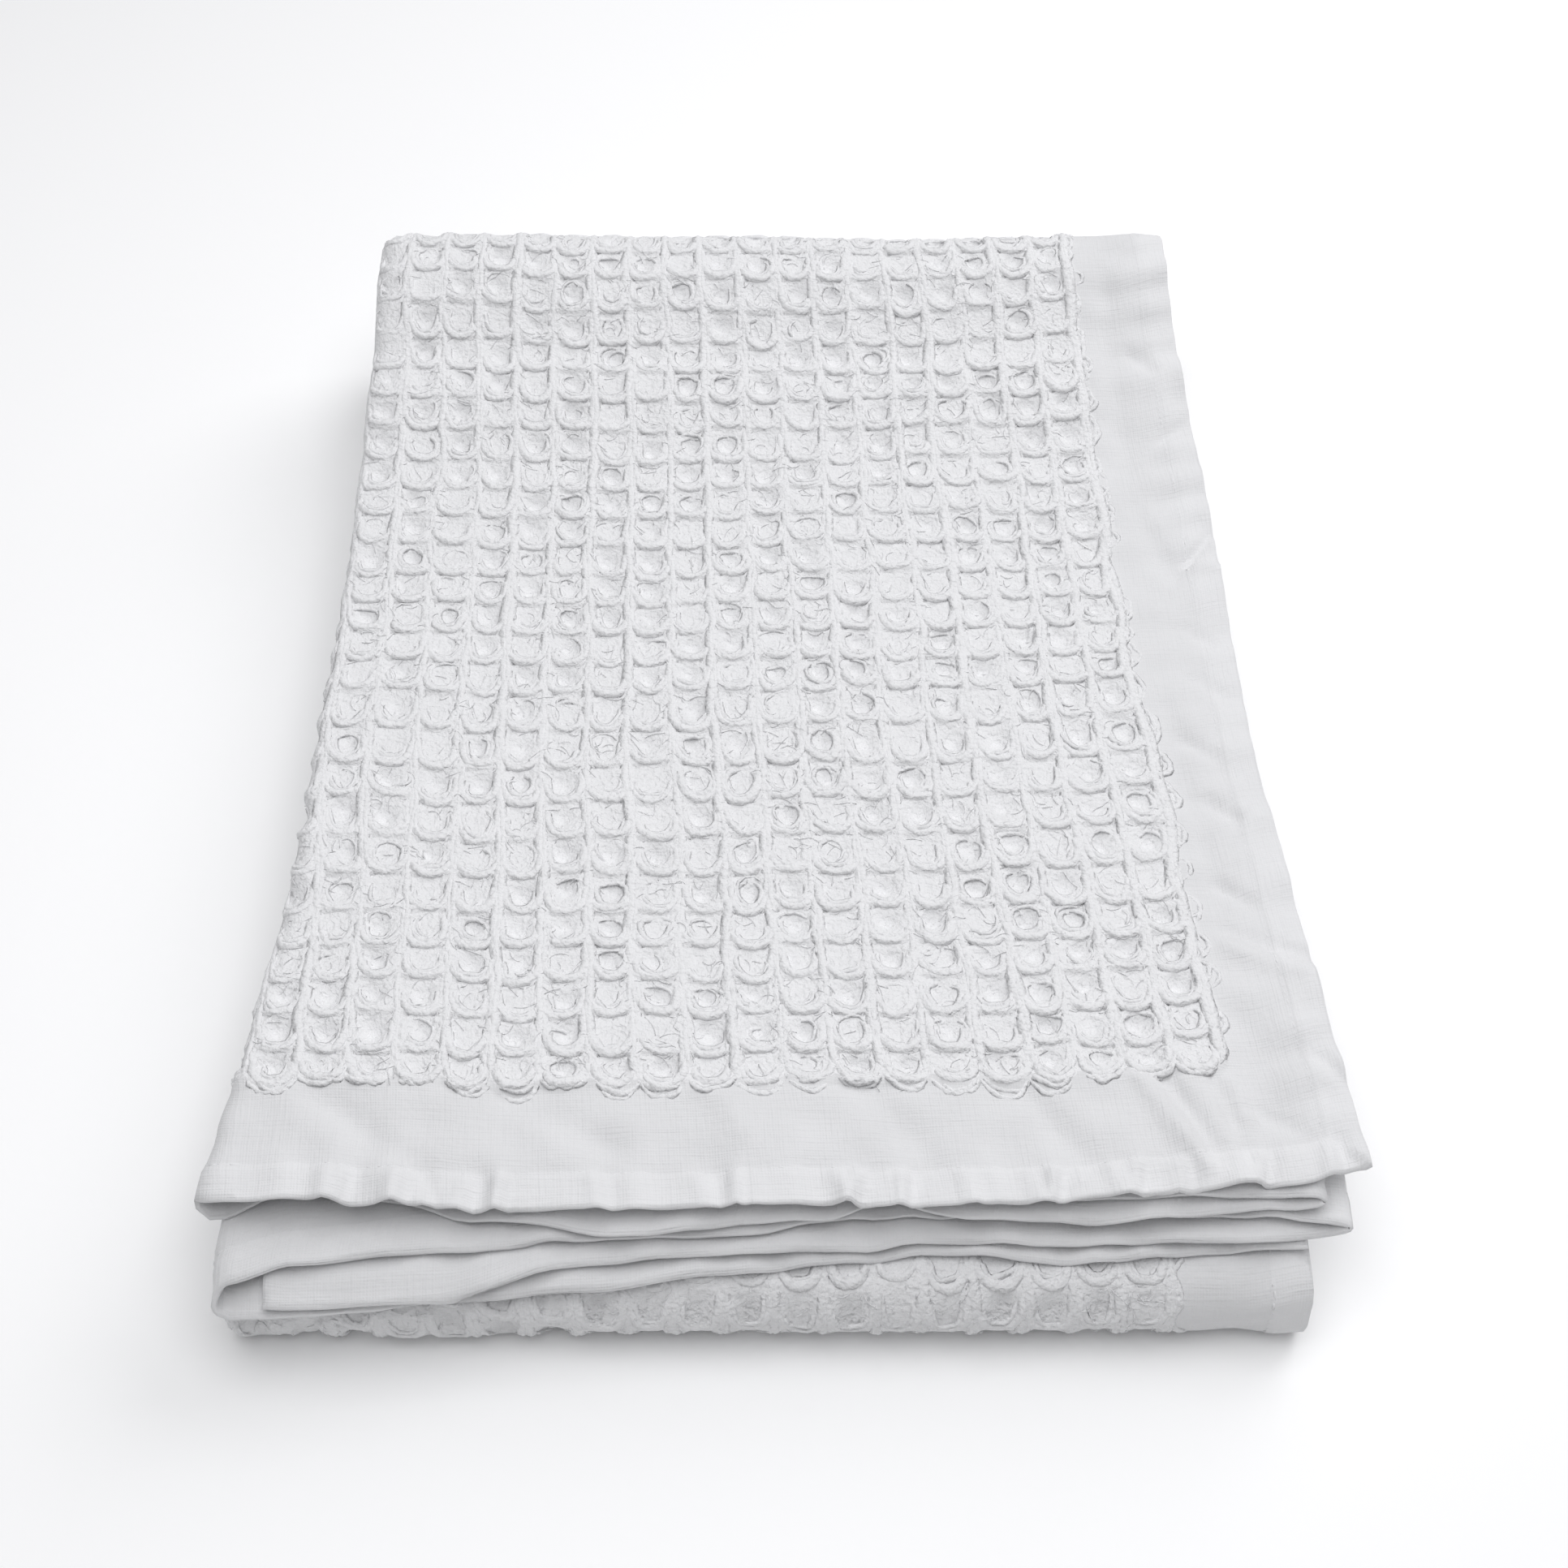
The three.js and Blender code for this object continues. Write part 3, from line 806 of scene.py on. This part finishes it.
def newMesh(name, points, polygons, materials, materialOf=None, flat=None):
    flatIndex = np.fromiter((k for ring in polygons for k in ring), np.int64)
    counts = np.fromiter((len(ring) for ring in polygons), np.int64)
    mesh = bpy.data.meshes.new(name)
    mesh.vertices.add(len(points))
    mesh.vertices.foreach_set("co", (points * toMetres).astype(np.float32).ravel())
    mesh.loops.add(len(flatIndex))
    mesh.loops.foreach_set("vertex_index", flatIndex.astype(np.int32))
    mesh.polygons.add(len(counts))
    starts = np.concatenate([[0], np.cumsum(counts)[:-1]])
    mesh.polygons.foreach_set("loop_start", starts.astype(np.int32))
    mesh.polygons.foreach_set("use_smooth", np.ones(len(counts), bool))
    for material in materials:
        mesh.materials.append(material)
    if materialOf is not None:
        mesh.polygons.foreach_set("material_index", np.asarray(materialOf, np.int32))
    if flat is not None:
        layer = mesh.uv_layers.new(name="flatCloth")
        layer.data.foreach_set("uv", (flat[flatIndex] * toMetres).astype(np.float32).ravel())
    mesh.update(calc_edges=True)
    mesh.validate()
    return addToScene(name, mesh)


# Materials
def linear(colour):
    parts = [int(colour[i:i + 2], 16) / 255 for i in (1, 3, 5)]
    parts = [c / 12.92 if c <= 0.04045 else ((c + 0.055) / 1.055) ** 2.4 for c in parts]
    return (*parts, 1)


def perMetre(size):
    # how often something of this size in millimetres repeats in a metre
    return 1 / (size * toMetres)


def addNode(tree, kind, settings=None, links=None):
    node = tree.nodes.new(kind)
    for name, value in (settings or {}).items():
        if isinstance(name, str) and hasattr(node, name):
            setattr(node, name, value)
        else:
            node.inputs[name].default_value = value
    for name, source in (links or {}).items():
        tree.links.new(source, node.inputs[name])
    return node


linen = {  # sizes are in millimetres
    "roughness": 0.88,
    "fuzz": 0.25,
    "fuzzRoughness": 0.6,
    "specular": 0.25,
    "slub": (16.667, 1.1111),  # length and thickness
    "tuft": 1.7857,  # of its fuzz
    "weaveStrength": 0.6,
}
# threads really lie 0.55 mm apart, too fine for the render, so threadPitch draws them coarser
plainWeave = {
    "colours": ("#D7D7D8", "#E1E1E2"),  # darkest and lightest
    "threadPitch": 0.9,
    "threadDepth": 0.42,
    "weaveShare": 0.2,  # of the threads' crossings beside their slubs
    "fuzzDepth": 0.15,
    "cloud": 16.667,  # of its tint
}
hemWeave = {**plainWeave, "colours": ("#DBDBDC", "#E5E5E6")}  # lies double, so less light gets through
honeycombWeave = {
    "colours": ("#E1E1E2", "#EAEAEB"),
    "threadPitch": 1.1,
    "threadDepth": 0.25,
    "weaveShare": 0.0,  # its yarns lie loose, with no crossings that show
    "fuzzDepth": 1.1,
    "cloud": 11.111,
}


def linenMaterial(name, weaveKind):
    # linen, woven and washed: matt and slightly fuzzy, so it has no gloss and its shades run softly
    # into each other, with slubs that make threads thick and thin and a faint cloudy tint
    material = bpy.data.materials.new(name)
    material.use_nodes = True
    tree = material.node_tree
    tree.nodes.clear()
    flat = addNode(tree, "ShaderNodeUVMap", {"uv_map": "flatCloth"})
    place = addNode(tree, "ShaderNodeTexCoord")
    split = addNode(tree, "ShaderNodeSeparateXYZ", links={0: flat.outputs[0]})
    rate = math.pi * perMetre(weaveKind["threadPitch"])
    threads = []
    for axis in ("X", "Y"):
        turned = addNode(tree, "ShaderNodeMath", {"operation": "MULTIPLY", 1: rate}, {0: split.outputs[axis]})
        threads.append(addNode(tree, "ShaderNodeMath", {"operation": "SINE"}, {0: turned.outputs[0]}))
    crossing = addNode(tree, "ShaderNodeMath", {"operation": "MULTIPLY"},
                       {0: threads[0].outputs[0], 1: threads[1].outputs[0]})
    woven = addNode(tree, "ShaderNodeMath", {"operation": "ABSOLUTE"}, {0: crossing.outputs[0]})
    slubs = []
    slubAlong, slubAcross = (perMetre(size) for size in linen["slub"])
    for stretch in ((slubAlong, slubAcross, 1), (slubAcross, slubAlong, 1)):
        mapped = addNode(tree, "ShaderNodeMapping", {"Scale": stretch}, {"Vector": flat.outputs[0]})
        slubs.append(addNode(tree, "ShaderNodeTexNoise", {"Scale": 1.0, "Detail": 2.0},
                             {"Vector": mapped.outputs[0]}))
    slub = addNode(tree, "ShaderNodeMath", {"operation": "ADD"},
                   {0: slubs[0].outputs[0], 1: slubs[1].outputs[0]})
    weave = addNode(tree, "ShaderNodeMath", {"operation": "MULTIPLY_ADD", 1: weaveKind["weaveShare"]},
                    {0: woven.outputs[0], 2: slub.outputs[0]})
    lint = addNode(tree, "ShaderNodeTexNoise",
                   {"Scale": perMetre(linen["tuft"]), "Detail": 2.0, "Roughness": 0.5},
                   {"Vector": place.outputs["Object"]})
    soft = addNode(tree, "ShaderNodeBump",
                   {"Strength": 1.0, "Distance": weaveKind["fuzzDepth"] * toMetres},
                   {"Height": lint.outputs[0]})
    bump = addNode(tree, "ShaderNodeBump",
                   {"Strength": linen["weaveStrength"], "Distance": weaveKind["threadDepth"] * toMetres},
                   {"Height": weave.outputs[0], "Normal": soft.outputs[0]})
    cloud = addNode(tree, "ShaderNodeTexNoise", {"Scale": perMetre(weaveKind["cloud"]), "Detail": 3.0},
                    {"Vector": place.outputs["Object"]})
    darkest, lightest = (linear(colour) for colour in weaveKind["colours"])
    tint = addNode(tree, "ShaderNodeMix", {"data_type": "RGBA", 6: darkest, 7: lightest},
                   {"Factor": cloud.outputs[0]})
    surface = addNode(tree, "ShaderNodeBsdfPrincipled",
                      {"Roughness": linen["roughness"], "Sheen Weight": linen["fuzz"],
                       "Sheen Roughness": linen["fuzzRoughness"], "Specular IOR Level": linen["specular"]},
                      {"Base Color": tint.outputs[2], "Normal": bump.outputs[0]})
    addNode(tree, "ShaderNodeOutputMaterial", links={"Surface": surface.outputs[0]})
    return material


hemLinen = linenMaterial("washedHemLinen", hemWeave)
plainLinen = linenMaterial("washedPlainLinen", plainWeave)
honeycombLinen = linenMaterial("washedHoneycombLinen", honeycombWeave)
print("linen ready")

innerLow = {  # the hidden face lies lower only under the open cells: shares of a part or leg
    "ends": (0.92, 0.97),
    "fold": (0.57, 0.62),  # either side of the middle of the front fold
    "foldMiddle": 3.5,
}


def buildCloth():
    polygons, kinds = clothPolygons()
    used = np.unique(np.fromiter((k for ring in polygons for k in ring), np.int64))
    wide, long = patchesU * steps + 1, patchesV * steps + 1
    face = used // (wide * long)
    rest = used % (wide * long)
    u, v, relief, inside = vertexPlace(rest // long, rest % long)
    half = np.where(inside, cloth["honeycombThick"] / 2, halfThick(u, v))
    middle = np.where(inside, relief - half, borderHeight(u, v))
    height = middle + np.select([face == outerFace, face == innerFace], [half, -half], 0)
    q, p = formPlace(u, v)
    onFold = 1 - rise(np.abs(p - innerLow["foldMiddle"]), *innerLow["fold"])
    underOpen = (1 - rise(q, *innerLow["ends"])) * np.maximum(1 - rise(p, *innerLow["ends"]), onFold)
    innerHeight = mix(honeycomb["inner"], honeycomb["innerTop"], underOpen)
    height = np.where(inside & (face == innerFace), innerHeight, height)
    inset = cloth["edgeInset"]
    u = np.where(face < edgeMiddle, np.clip(u, inset, flatWide - inset), u)
    v = np.where(face < edgeMiddle, np.clip(v, inset, flatLong - inset), v)
    points, _ = placeOnForm(u, v, height)
    points = points + shift
    points[:, 2] = np.maximum(points[:, 2], 0)
    number = {int(key): index for index, key in enumerate(used)}
    polygons = [[number[key] for key in ring] for ring in polygons]
    materials = [plainLinen, honeycombLinen, hemLinen]
    piece = newMesh("bath_sheet_cloth", points, polygons, materials, kinds, np.stack([u, v], -1))
    print("cloth", len(polygons), "polygons", sum(len(ring) - 2 for ring in polygons), "triangles")
    return piece


clothPiece = buildCloth()

# Yarns that lie loose over the honeycomb: a thick one hangs round the front of each cell, others
# run along the ribs, round the bowls and across them. Their places are in cells, proud is how far a
# strand stands out of the cloth, and wide is its width in times its height
strand = {  # what all loose strands share
    "wobbleEvery": 3,  # points
    "liftWobble": 0.13,
    "radiusUneven": (0.8, 1.15),
    "radiusWobble": 0.07,
    "endThin": 0.45,  # of the radius
    "thinOver": 2.5,  # points
    "endSinks": 0.25,
    "sinkOver": 2,
    "shake": 0.09,
    "ontoBorder": 0.12,
    "overBorder": 0.15,
}
shownRegions = {  # cells with their own yarns: columns and rows from the honeycomb's first corner
    "top": {"columns": (0, 24), "rows": (0, 28), "without": ()},
    "back": {"columns": (0, 25), "rows": (28, 35), "without": ("float",)},
    "front": {"columns": (0, 25), "rows": (60, 67), "without": ("ring", "float")},
}


def wobble(shape, size):
    # slow sideways wandering of each strand
    n, m = shape
    every = strand["wobbleEvery"]
    # a knot for every few points, with some to spare
    knots = rng.normal(0, size, (n, m // every + 3))
    at = np.arange(m) / every
    i = at.astype(int)
    share = ease(at - i)
    return mix(knots[:, i], knots[:, i + 1], share[None])


def tubes(name, points, normals, radius, material, kind):
    # closed thin tubes along rows of points
    n, m, _ = points.shape
    sides, wide = kind["sides"], kind["wide"]
    along = unit(np.gradient(points, axis=1))
    up = unit(normals - along * (normals * along).sum(-1, keepdims=True))
    side = np.cross(along, up)
    angle = np.arange(sides) * 2 * math.pi / sides
    ring = up[:, :, None] * np.cos(angle)[:, None] + side[:, :, None] * wide * np.sin(angle)[:, None]
    radius = np.broadcast_to(np.asarray(radius), (n, m))[:, :, None, None]
    verts = (points[:, :, None] + ring * radius).reshape(-1, 3)
    index = np.arange(n * m * sides).reshape(n, m, sides)
    a, b = index[:, :-1], index[:, 1:]
    quads = np.stack([a, np.roll(a, -1, 2), np.roll(b, -1, 2), b], -1).reshape(-1, 4)
    ends = np.concatenate([index[:, 0, ::-1], index[:, -1]])
    verts = verts + shift
    verts[:, 2] = np.maximum(verts[:, 2], 0)
    piece = newMesh(name, verts, quads.tolist() + ends.tolist(), [material])
    print(name, n, "strands", (len(quads) + len(ends)) * 2, "triangles")
    return piece


def cellStrands(gu, gv, lift):
    # points on the honeycomb's own face, or on the border beside it, lifted by a strand's height
    guIn = np.clip(gu, 0, columns - 1e-6)
    gvIn = np.clip(gv, 0, rows - 1e-6)
    u, v = cellFlat(guIn, gvIn)
    u = u + (gu - guIn) * cloth["pitch"]
    v = v + (gv - gvIn) * cloth["pitch"]
    outside = ease(np.maximum(np.abs(gu - guIn), np.abs(gv - gvIn)) / strand["ontoBorder"])
    onBorder = borderHeight(u, v) + halfThick(u, v) + strand["overBorder"]
    return placeOnForm(u, v, mix(cellHeight(guIn, gvIn), onBorder, outside) + lift)


def strandLift(shape, kind):
    return kind["proud"] - kind["radius"] + wobble(shape, strand["liftWobble"])


ringYarn = {
    "radius": 0.7, "wide": 1.7, "proud": 0.2, "sides": 4,
    "points": 16,
    "share": 0.24,  # of the cells
    "size": (0.31, 0.38),
    "start": (0.35, 0.8),  # half turns from the left
    "round": 2.12,  # half turns, so that its ends cross
    "follows": 0.6,  # how far it moves along with its bowl
    "stretch": 1.02,
    "middle": 0.46,
    "ends": (0.02, 0.9),
    "wobble": 0.02,
}


def ringYarns(c, r):
    # closed rings round some of the bowls
    chosen = rng.choice(len(c), int(len(c) * ringYarn["share"]), replace=False)
    c, r = c[chosen], r[chosen]
    i, j = c.astype(int), r.astype(int)
    start = rng.uniform(*ringYarn["start"], (len(c), 1))
    angle = math.pi * (start + np.linspace(0, ringYarn["round"], ringYarn["points"])[None])
    size = rng.uniform(*ringYarn["size"], (len(c), 1)) * (cellSize[i, j] + 1) / 2
    size = size + wobble(angle.shape, ringYarn["wobble"])
    aside = cellMiddle[:, i, j] * ringYarn["follows"]
    gu = c + 0.5 + aside[0] + size * np.cos(angle)
    gv = r + ringYarn["middle"] + aside[1] + size * ringYarn["stretch"] * np.sin(angle)
    nearest, furthest = ringYarn["ends"]
    return [cellStrands(gu, np.clip(gv, r + nearest, r + furthest), strandLift(angle.shape, ringYarn))]


rimYarn = {
    "radius": 1.0, "wide": 1.7, "proud": 0.42, "sides": 6,
    "points": 14,
    "inset": 0.035,
}
innerYarn = {
    "radius": 0.7, "wide": 1.6, "proud": 0.22, "sides": 4,
    "points": 14,
    "inset": 0.125,
}
hang = {  # how the rim's yarns lie
    "insetUneven": 0.016,
    "ends": (-0.16, 0.12),
    "turn": (0.84, 2.16),  # half turns from one end to the other, round the front
    "halfWide": 0.455,
    "wideUneven": 0.012,
    "halfLong": 0.45,
    "middle": 0.46,
    "squareAcross": 0.75,  # 1 makes a round U, less makes it squarer
    "squareAlong": 0.7,
    "wobbleAcross": 0.022,
    "wobbleAlong": 0.028,
    "frontLift": 0.2,
    "leastFront": 0.004,
}


def rimYarns(c, r, kind):
    # each hangs round the front of its cell like a U, its ends running up along the ribs
    inset = kind["inset"] + rng.normal(0, hang["insetUneven"], (len(c), 1))
    ends = rng.uniform(*hang["ends"], (2, len(c), 1))
    turn = np.linspace(0, 1, kind["points"])[None]
    angle = math.pi * mix(hang["turn"][0] - ends[0], hang["turn"][1] + ends[1], turn)
    wide = hang["halfWide"] - inset + rng.normal(0, hang["wideUneven"], (len(c), 1))
    sideways = np.sign(np.cos(angle)) * np.abs(np.cos(angle)) ** hang["squareAcross"]
    lengthways = np.sign(np.sin(angle)) * np.abs(np.sin(angle)) ** hang["squareAlong"]
    gu = c + 0.5 + wide * sideways + wobble(angle.shape, hang["wobbleAcross"])
    gv = r + hang["middle"] + (hang["halfLong"] - inset) * lengthways
    gv = gv + wobble(angle.shape, hang["wobbleAlong"])
    lift = strandLift(angle.shape, kind) + hang["frontLift"] * np.clip(-np.sin(angle), 0, 1)
    return [cellStrands(gu, np.maximum(gv, r + hang["leastFront"]), lift)]


edgeYarn = {
    "radius": 0.8, "wide": 1.6, "proud": 0.45, "sides": 4,
    "points": 14,
    "times": 2,
    "bow": 2.5,  # 2 makes round loops, more makes them flatter
    "wobble": 0.03,
    "least": 0.01,
    "side": {"start": 0.06, "reach": (0.12, 0.44), "aside": 0.12, "half": (0.35, 0.6)},
    "front": {"start": 0.05, "reach": (0.0, 0.34), "aside": 0.08, "half": (0.38, 0.58)},
}


def slackLoops(first, last, kind):
    # places along a side of the honeycomb and out of it, for one row of loops
    at = np.arange(first, last)[:, None]
    along = np.linspace(-1, 1, edgeYarn["points"])[None]
    reach = rng.uniform(*kind["reach"], at.shape) * (1 - np.abs(along) ** edgeYarn["bow"])
    middle = at + 0.5 + rng.normal(0, kind["aside"], at.shape)
    place = middle + along * rng.uniform(*kind["half"], at.shape)
    out = kind["start"] - reach + wobble(place.shape, edgeYarn["wobble"])
    return np.maximum(place, edgeYarn["least"]), out


def edgeLoops(region):
    # slack loops that slip out of the honeycomb over the plain border
    lines = []
    for _ in range(edgeYarn["times"]):
        gv, gu = slackLoops(*region["rows"], edgeYarn["side"])
        lines.append(cellStrands(gu, gv, strandLift(gv.shape, edgeYarn)))
        if region["rows"][0] == 0:
            gu, gv = slackLoops(*region["columns"], edgeYarn["front"])
            lines.append(cellStrands(gu, gv, strandLift(gu.shape, edgeYarn)))
    return lines


ribYarn = {
    "radius": 1.0, "wide": 1.9, "proud": 0.35, "sides": 5,
    "sideways": (-0.03, 0.05),
    "pointsPerCell": 5,
    "ends": (0.02, 0.98),
    "pinch": (0.5, 1.05),  # share of its sideways place at a rim and between rims
    "lift": 0.1,
    "sag": 0.05,
    "wobble": 0.02,
}


def ribYarns(c, r):
    count = int((r.max() - r.min() + 1) * ribYarn["pointsPerCell"])
    nearest, furthest = ribYarn["ends"]
    gv = np.linspace(r.min() + nearest, r.max() + furthest, count)[None]
    ribs = np.arange(c.min(), c.max() + 2)[:, None]
    arch = np.abs(np.sin(math.pi * gv))
    lines = []
    for sideways in ribYarn["sideways"]:
        gu = ribs + sideways * mix(*ribYarn["pinch"], arch) + 0 * gv
        gu = gu + wobble(gu.shape, ribYarn["wobble"])
        lift = strandLift(gu.shape, ribYarn) + ribYarn["lift"] - ribYarn["sag"] * arch
        lines.append(cellStrands(gu, gv + 0 * gu, lift))
    return lines


floatYarn = {
    "radius": 0.6, "wide": 1.3, "sides": 4,
    "points": 8,
    "share": 0.45,  # of the cells
    "round": (0.7, 1.6),
    "size": (0.22, 0.36),
    "sizeWobble": 0.05,
    "aside": 0.05,
    "lift": -0.1,
    "liftWobble": 0.2,
}


def floatYarns(c, r):
    # loose strands that cross a bowl or slip out of a ring
    chosen = rng.choice(len(c), int(len(c) * floatYarn["share"]), replace=False)
    c, r = c[chosen], r[chosen]
    n = (len(c), 1)
    turn = np.linspace(0, 1, floatYarn["points"])[None]
    start = rng.uniform(0, 2 * math.pi, n)
    angle = start + turn * rng.uniform(*floatYarn["round"], n) * math.pi
    reach = rng.uniform(*floatYarn["size"], n) + wobble(angle.shape, floatYarn["sizeWobble"])
    gu = c + 0.5 + rng.normal(0, floatYarn["aside"], n) + reach * np.cos(angle)
    gv = r + 0.5 + rng.normal(0, floatYarn["aside"], n) + reach * np.sin(angle)
    lift = floatYarn["lift"] + wobble(angle.shape, floatYarn["liftWobble"])
    return [cellStrands(gu, gv, lift)]


lintYarn = {
    "radius": 0.15, "wide": 1, "sides": 4,
    "points": 6,
    "long": (3, 8),  # millimetres
    "lift": 0.05,
    "arch": (0.05, 0.3),
    "bend": 1.2,
    "archTurn": (0.3, 2.4),  # radians
    "perCell": 4.316,
    "margin": (0.2, 0.1),  # cells left free beside the first and last ones
}


def fibres(count, columnRange, rowRange):
    # fine lint that stands off the honeycomb
    n, m = (count, 1), lintYarn["points"]
    gu = rng.uniform(*columnRange, n)
    gv = rng.uniform(*rowRange, n)
    turn = rng.uniform(0, 2 * math.pi, n) + rng.normal(0, lintYarn["bend"], n) * np.linspace(0, 1, m)[None]
    step = rng.uniform(*lintYarn["long"], n) / (m - 1) / cloth["pitch"]
    gu = gu + np.cumsum(np.cos(turn) * step, 1)
    gv = gv + np.cumsum(np.sin(turn) * step, 1)
    arch = np.sin(np.linspace(*lintYarn["archTurn"], m))[None]
    lift = rng.uniform(*lintYarn["arch"], n) * arch + lintYarn["lift"]
    return cellStrands(gu, gv, lift)


def strandTubes(name, lines, kind):
    # strands thin and sink into the cloth at their ends
    points = np.concatenate([line[0] for line in lines])
    normals = np.concatenate([line[1] for line in lines])
    shareOfRadius = rng.uniform(*strand["radiusUneven"], (len(points), 1))
    radius = kind["radius"] * (shareOfRadius + wobble(points.shape[:2], strand["radiusWobble"]))
    fromEnd = np.minimum(np.arange(points.shape[1]), np.arange(points.shape[1])[::-1])
    radius = radius * mix(strand["endThin"], 1, ease(fromEnd / strand["thinOver"]))[None]
    points = points + rng.normal(0, strand["shake"], points.shape)
    sink = strand["endSinks"] * (1 - ease(fromEnd / strand["sinkOver"]))
    return tubes(name, points - normals * sink[None, :, None], normals, radius, honeycombLinen, kind)


def regionYarns(regionName, region):
    (c0, c1), (r0, r1) = region["columns"], region["rows"]
    c, r = (a.reshape(-1, 1) for a in np.meshgrid(np.arange(c0, c1), np.arange(r0, r1), indexing="ij"))
    rims, inners = rimYarns(c, r, rimYarn), rimYarns(c, r, innerYarn)
    strands = {
        "ring": (ringYarn, ringYarns(c, r)),
        "rim": (rimYarn, rims),
        "inner": (innerYarn, inners),
        "rib": (ribYarn, ribYarns(c, r)),
        "float": (floatYarn, floatYarns(c, r)),
        "edge": (edgeYarn, edgeLoops(region)),
    }
    pieces = []
    for name, (kind, lines) in strands.items():
        if name not in region["without"]:
            pieces.append(strandTubes(f"{regionName}_{name}_yarns", lines, kind))
    acrossMargin, alongMargin = lintYarn["margin"]
    points, normals = fibres(int(lintYarn["perCell"] * len(c)), (c0 + acrossMargin, c1 - acrossMargin),
                             (r0 + alongMargin, r1 - alongMargin))
    pieces.append(tubes(f"{regionName}_lint_yarns", points, normals, lintYarn["radius"], honeycombLinen,
                        lintYarn))
    return pieces


# Hem stitches, one short thread each, its ends drawn into the cloth
stitch = {
    "radius": 0.4, "wide": 1, "proud": 0.16, "sides": 4,
    "points": 4,
    "long": 2.0,
    "pitch": 3.2,
    "unevenPitch": 0.15,
    "unevenLine": 0.12,
}


def hemStitches():
    sides = []
    for at, length, alongU in ((stitchLine, flatWide, True), (flatLong - stitchLine, flatWide, True),
                               (stitchLine, flatLong, False), (flatWide - stitchLine, flatLong, False)):
        place = np.arange(stitchLine, length - stitchLine, stitch["pitch"])[:, None]
        place = place + rng.normal(0, stitch["unevenPitch"], place.shape)
        along = place + np.linspace(-0.5, 0.5, stitch["points"])[None] * stitch["long"]
        aside = at + rng.normal(0, stitch["unevenLine"], place.shape) + 0 * along
        sides.append((along, aside) if alongU else (aside, along))
    u, v = (np.concatenate(parts) for parts in zip(*sides))
    arch = 1 - np.linspace(-1, 1, stitch["points"])[None] ** 2
    height = borderHeight(u, v) + halfThick(u, v) - stitch["radius"] + stitch["proud"] * arch
    points, normals = placeOnForm(u, v, height)
    return tubes("hem_stitches", points, normals, stitch["radius"], hemLinen, stitch)


yarnPieces = []
for regionName, region in shownRegions.items():
    yarnPieces += regionYarns(regionName, region)
yarnPieces.append(hemStitches())

# Studio, in metres but for the camera's place, which is in the form's millimetres
studio = {
    "lens": 50,
    "sensor": 36,
    "place": (-8.5, -532.0, 635.5),
    "pitchDown": 50.16,
    "yaw": 1.04,
    "worldColour": (0.985, 0.995, 1.01, 1),
    "worldStrength": 0.22,
    "lampColour": (0.985, 0.985, 1.0),
    "paper": "#FFFFFF",
    "paperRoughness": 0.95,
    "floorHalf": 4,
}
lamps = {
    "key": {"place": (1.0, 1.1, 1.35), "aim": (0, 0, 0.04), "size": 1.5, "watts": 16.5},
    "top": {"place": (0.0, -0.2, 1.6), "aim": (0, -0.1, 0.04), "size": 1.7, "watts": 18.8},
}


def buildCamera():
    data = bpy.data.cameras.new("camera")
    data.lens = studio["lens"]
    data.sensor_width = studio["sensor"]
    camera = addToScene("camera", data)
    camera.location = (np.array(studio["place"]) + shift) * toMetres
    camera.rotation_euler = (math.radians(90 - studio["pitchDown"]), 0, math.radians(-studio["yaw"]))
    bpy.context.scene.camera = camera


def areaLight(name, place, aim, size, watts):
    data = bpy.data.lights.new(name, "AREA")
    data.shape = "DISK"
    data.size = size
    data.energy = watts
    data.color = studio["lampColour"]
    lamp = addToScene(name, data)
    lamp.location = place
    lamp.rotation_euler = (Vector(aim) - Vector(place)).to_track_quat("-Z", "Y").to_euler()


def buildFloor():
    # paper, pressed and uncoated: matt white, so the floor shows only the stack's soft shadow
    half = studio["floorHalf"]
    corners = [(-half, -half, 0), (half, -half, 0), (half, half, 0), (-half, half, 0)]
    mesh = bpy.data.meshes.new("floor")
    mesh.from_pydata(corners, [], [(0, 1, 2, 3)])
    paper = bpy.data.materials.new("mattWhitePaper")
    paper.use_nodes = True
    surface = paper.node_tree.nodes["Principled BSDF"]
    surface.inputs["Base Color"].default_value = linear(studio["paper"])
    surface.inputs["Roughness"].default_value = studio["paperRoughness"]
    mesh.materials.append(paper)
    addToScene("floor", mesh)


def buildStudio():
    world = bpy.data.worlds.new("studio")
    world.use_nodes = True
    background = world.node_tree.nodes["Background"]
    background.inputs["Color"].default_value = studio["worldColour"]
    background.inputs["Strength"].default_value = studio["worldStrength"]
    bpy.context.scene.world = world
    bpy.context.scene.view_settings.view_transform = "Standard"
    for name, lamp in lamps.items():
        areaLight(name, **lamp)
    buildFloor()


buildCamera()
buildStudio()
print("studio ready")
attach(clothPiece, "root")
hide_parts("bath_sheet")
for piece in yarnPieces:
    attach(piece, "root")
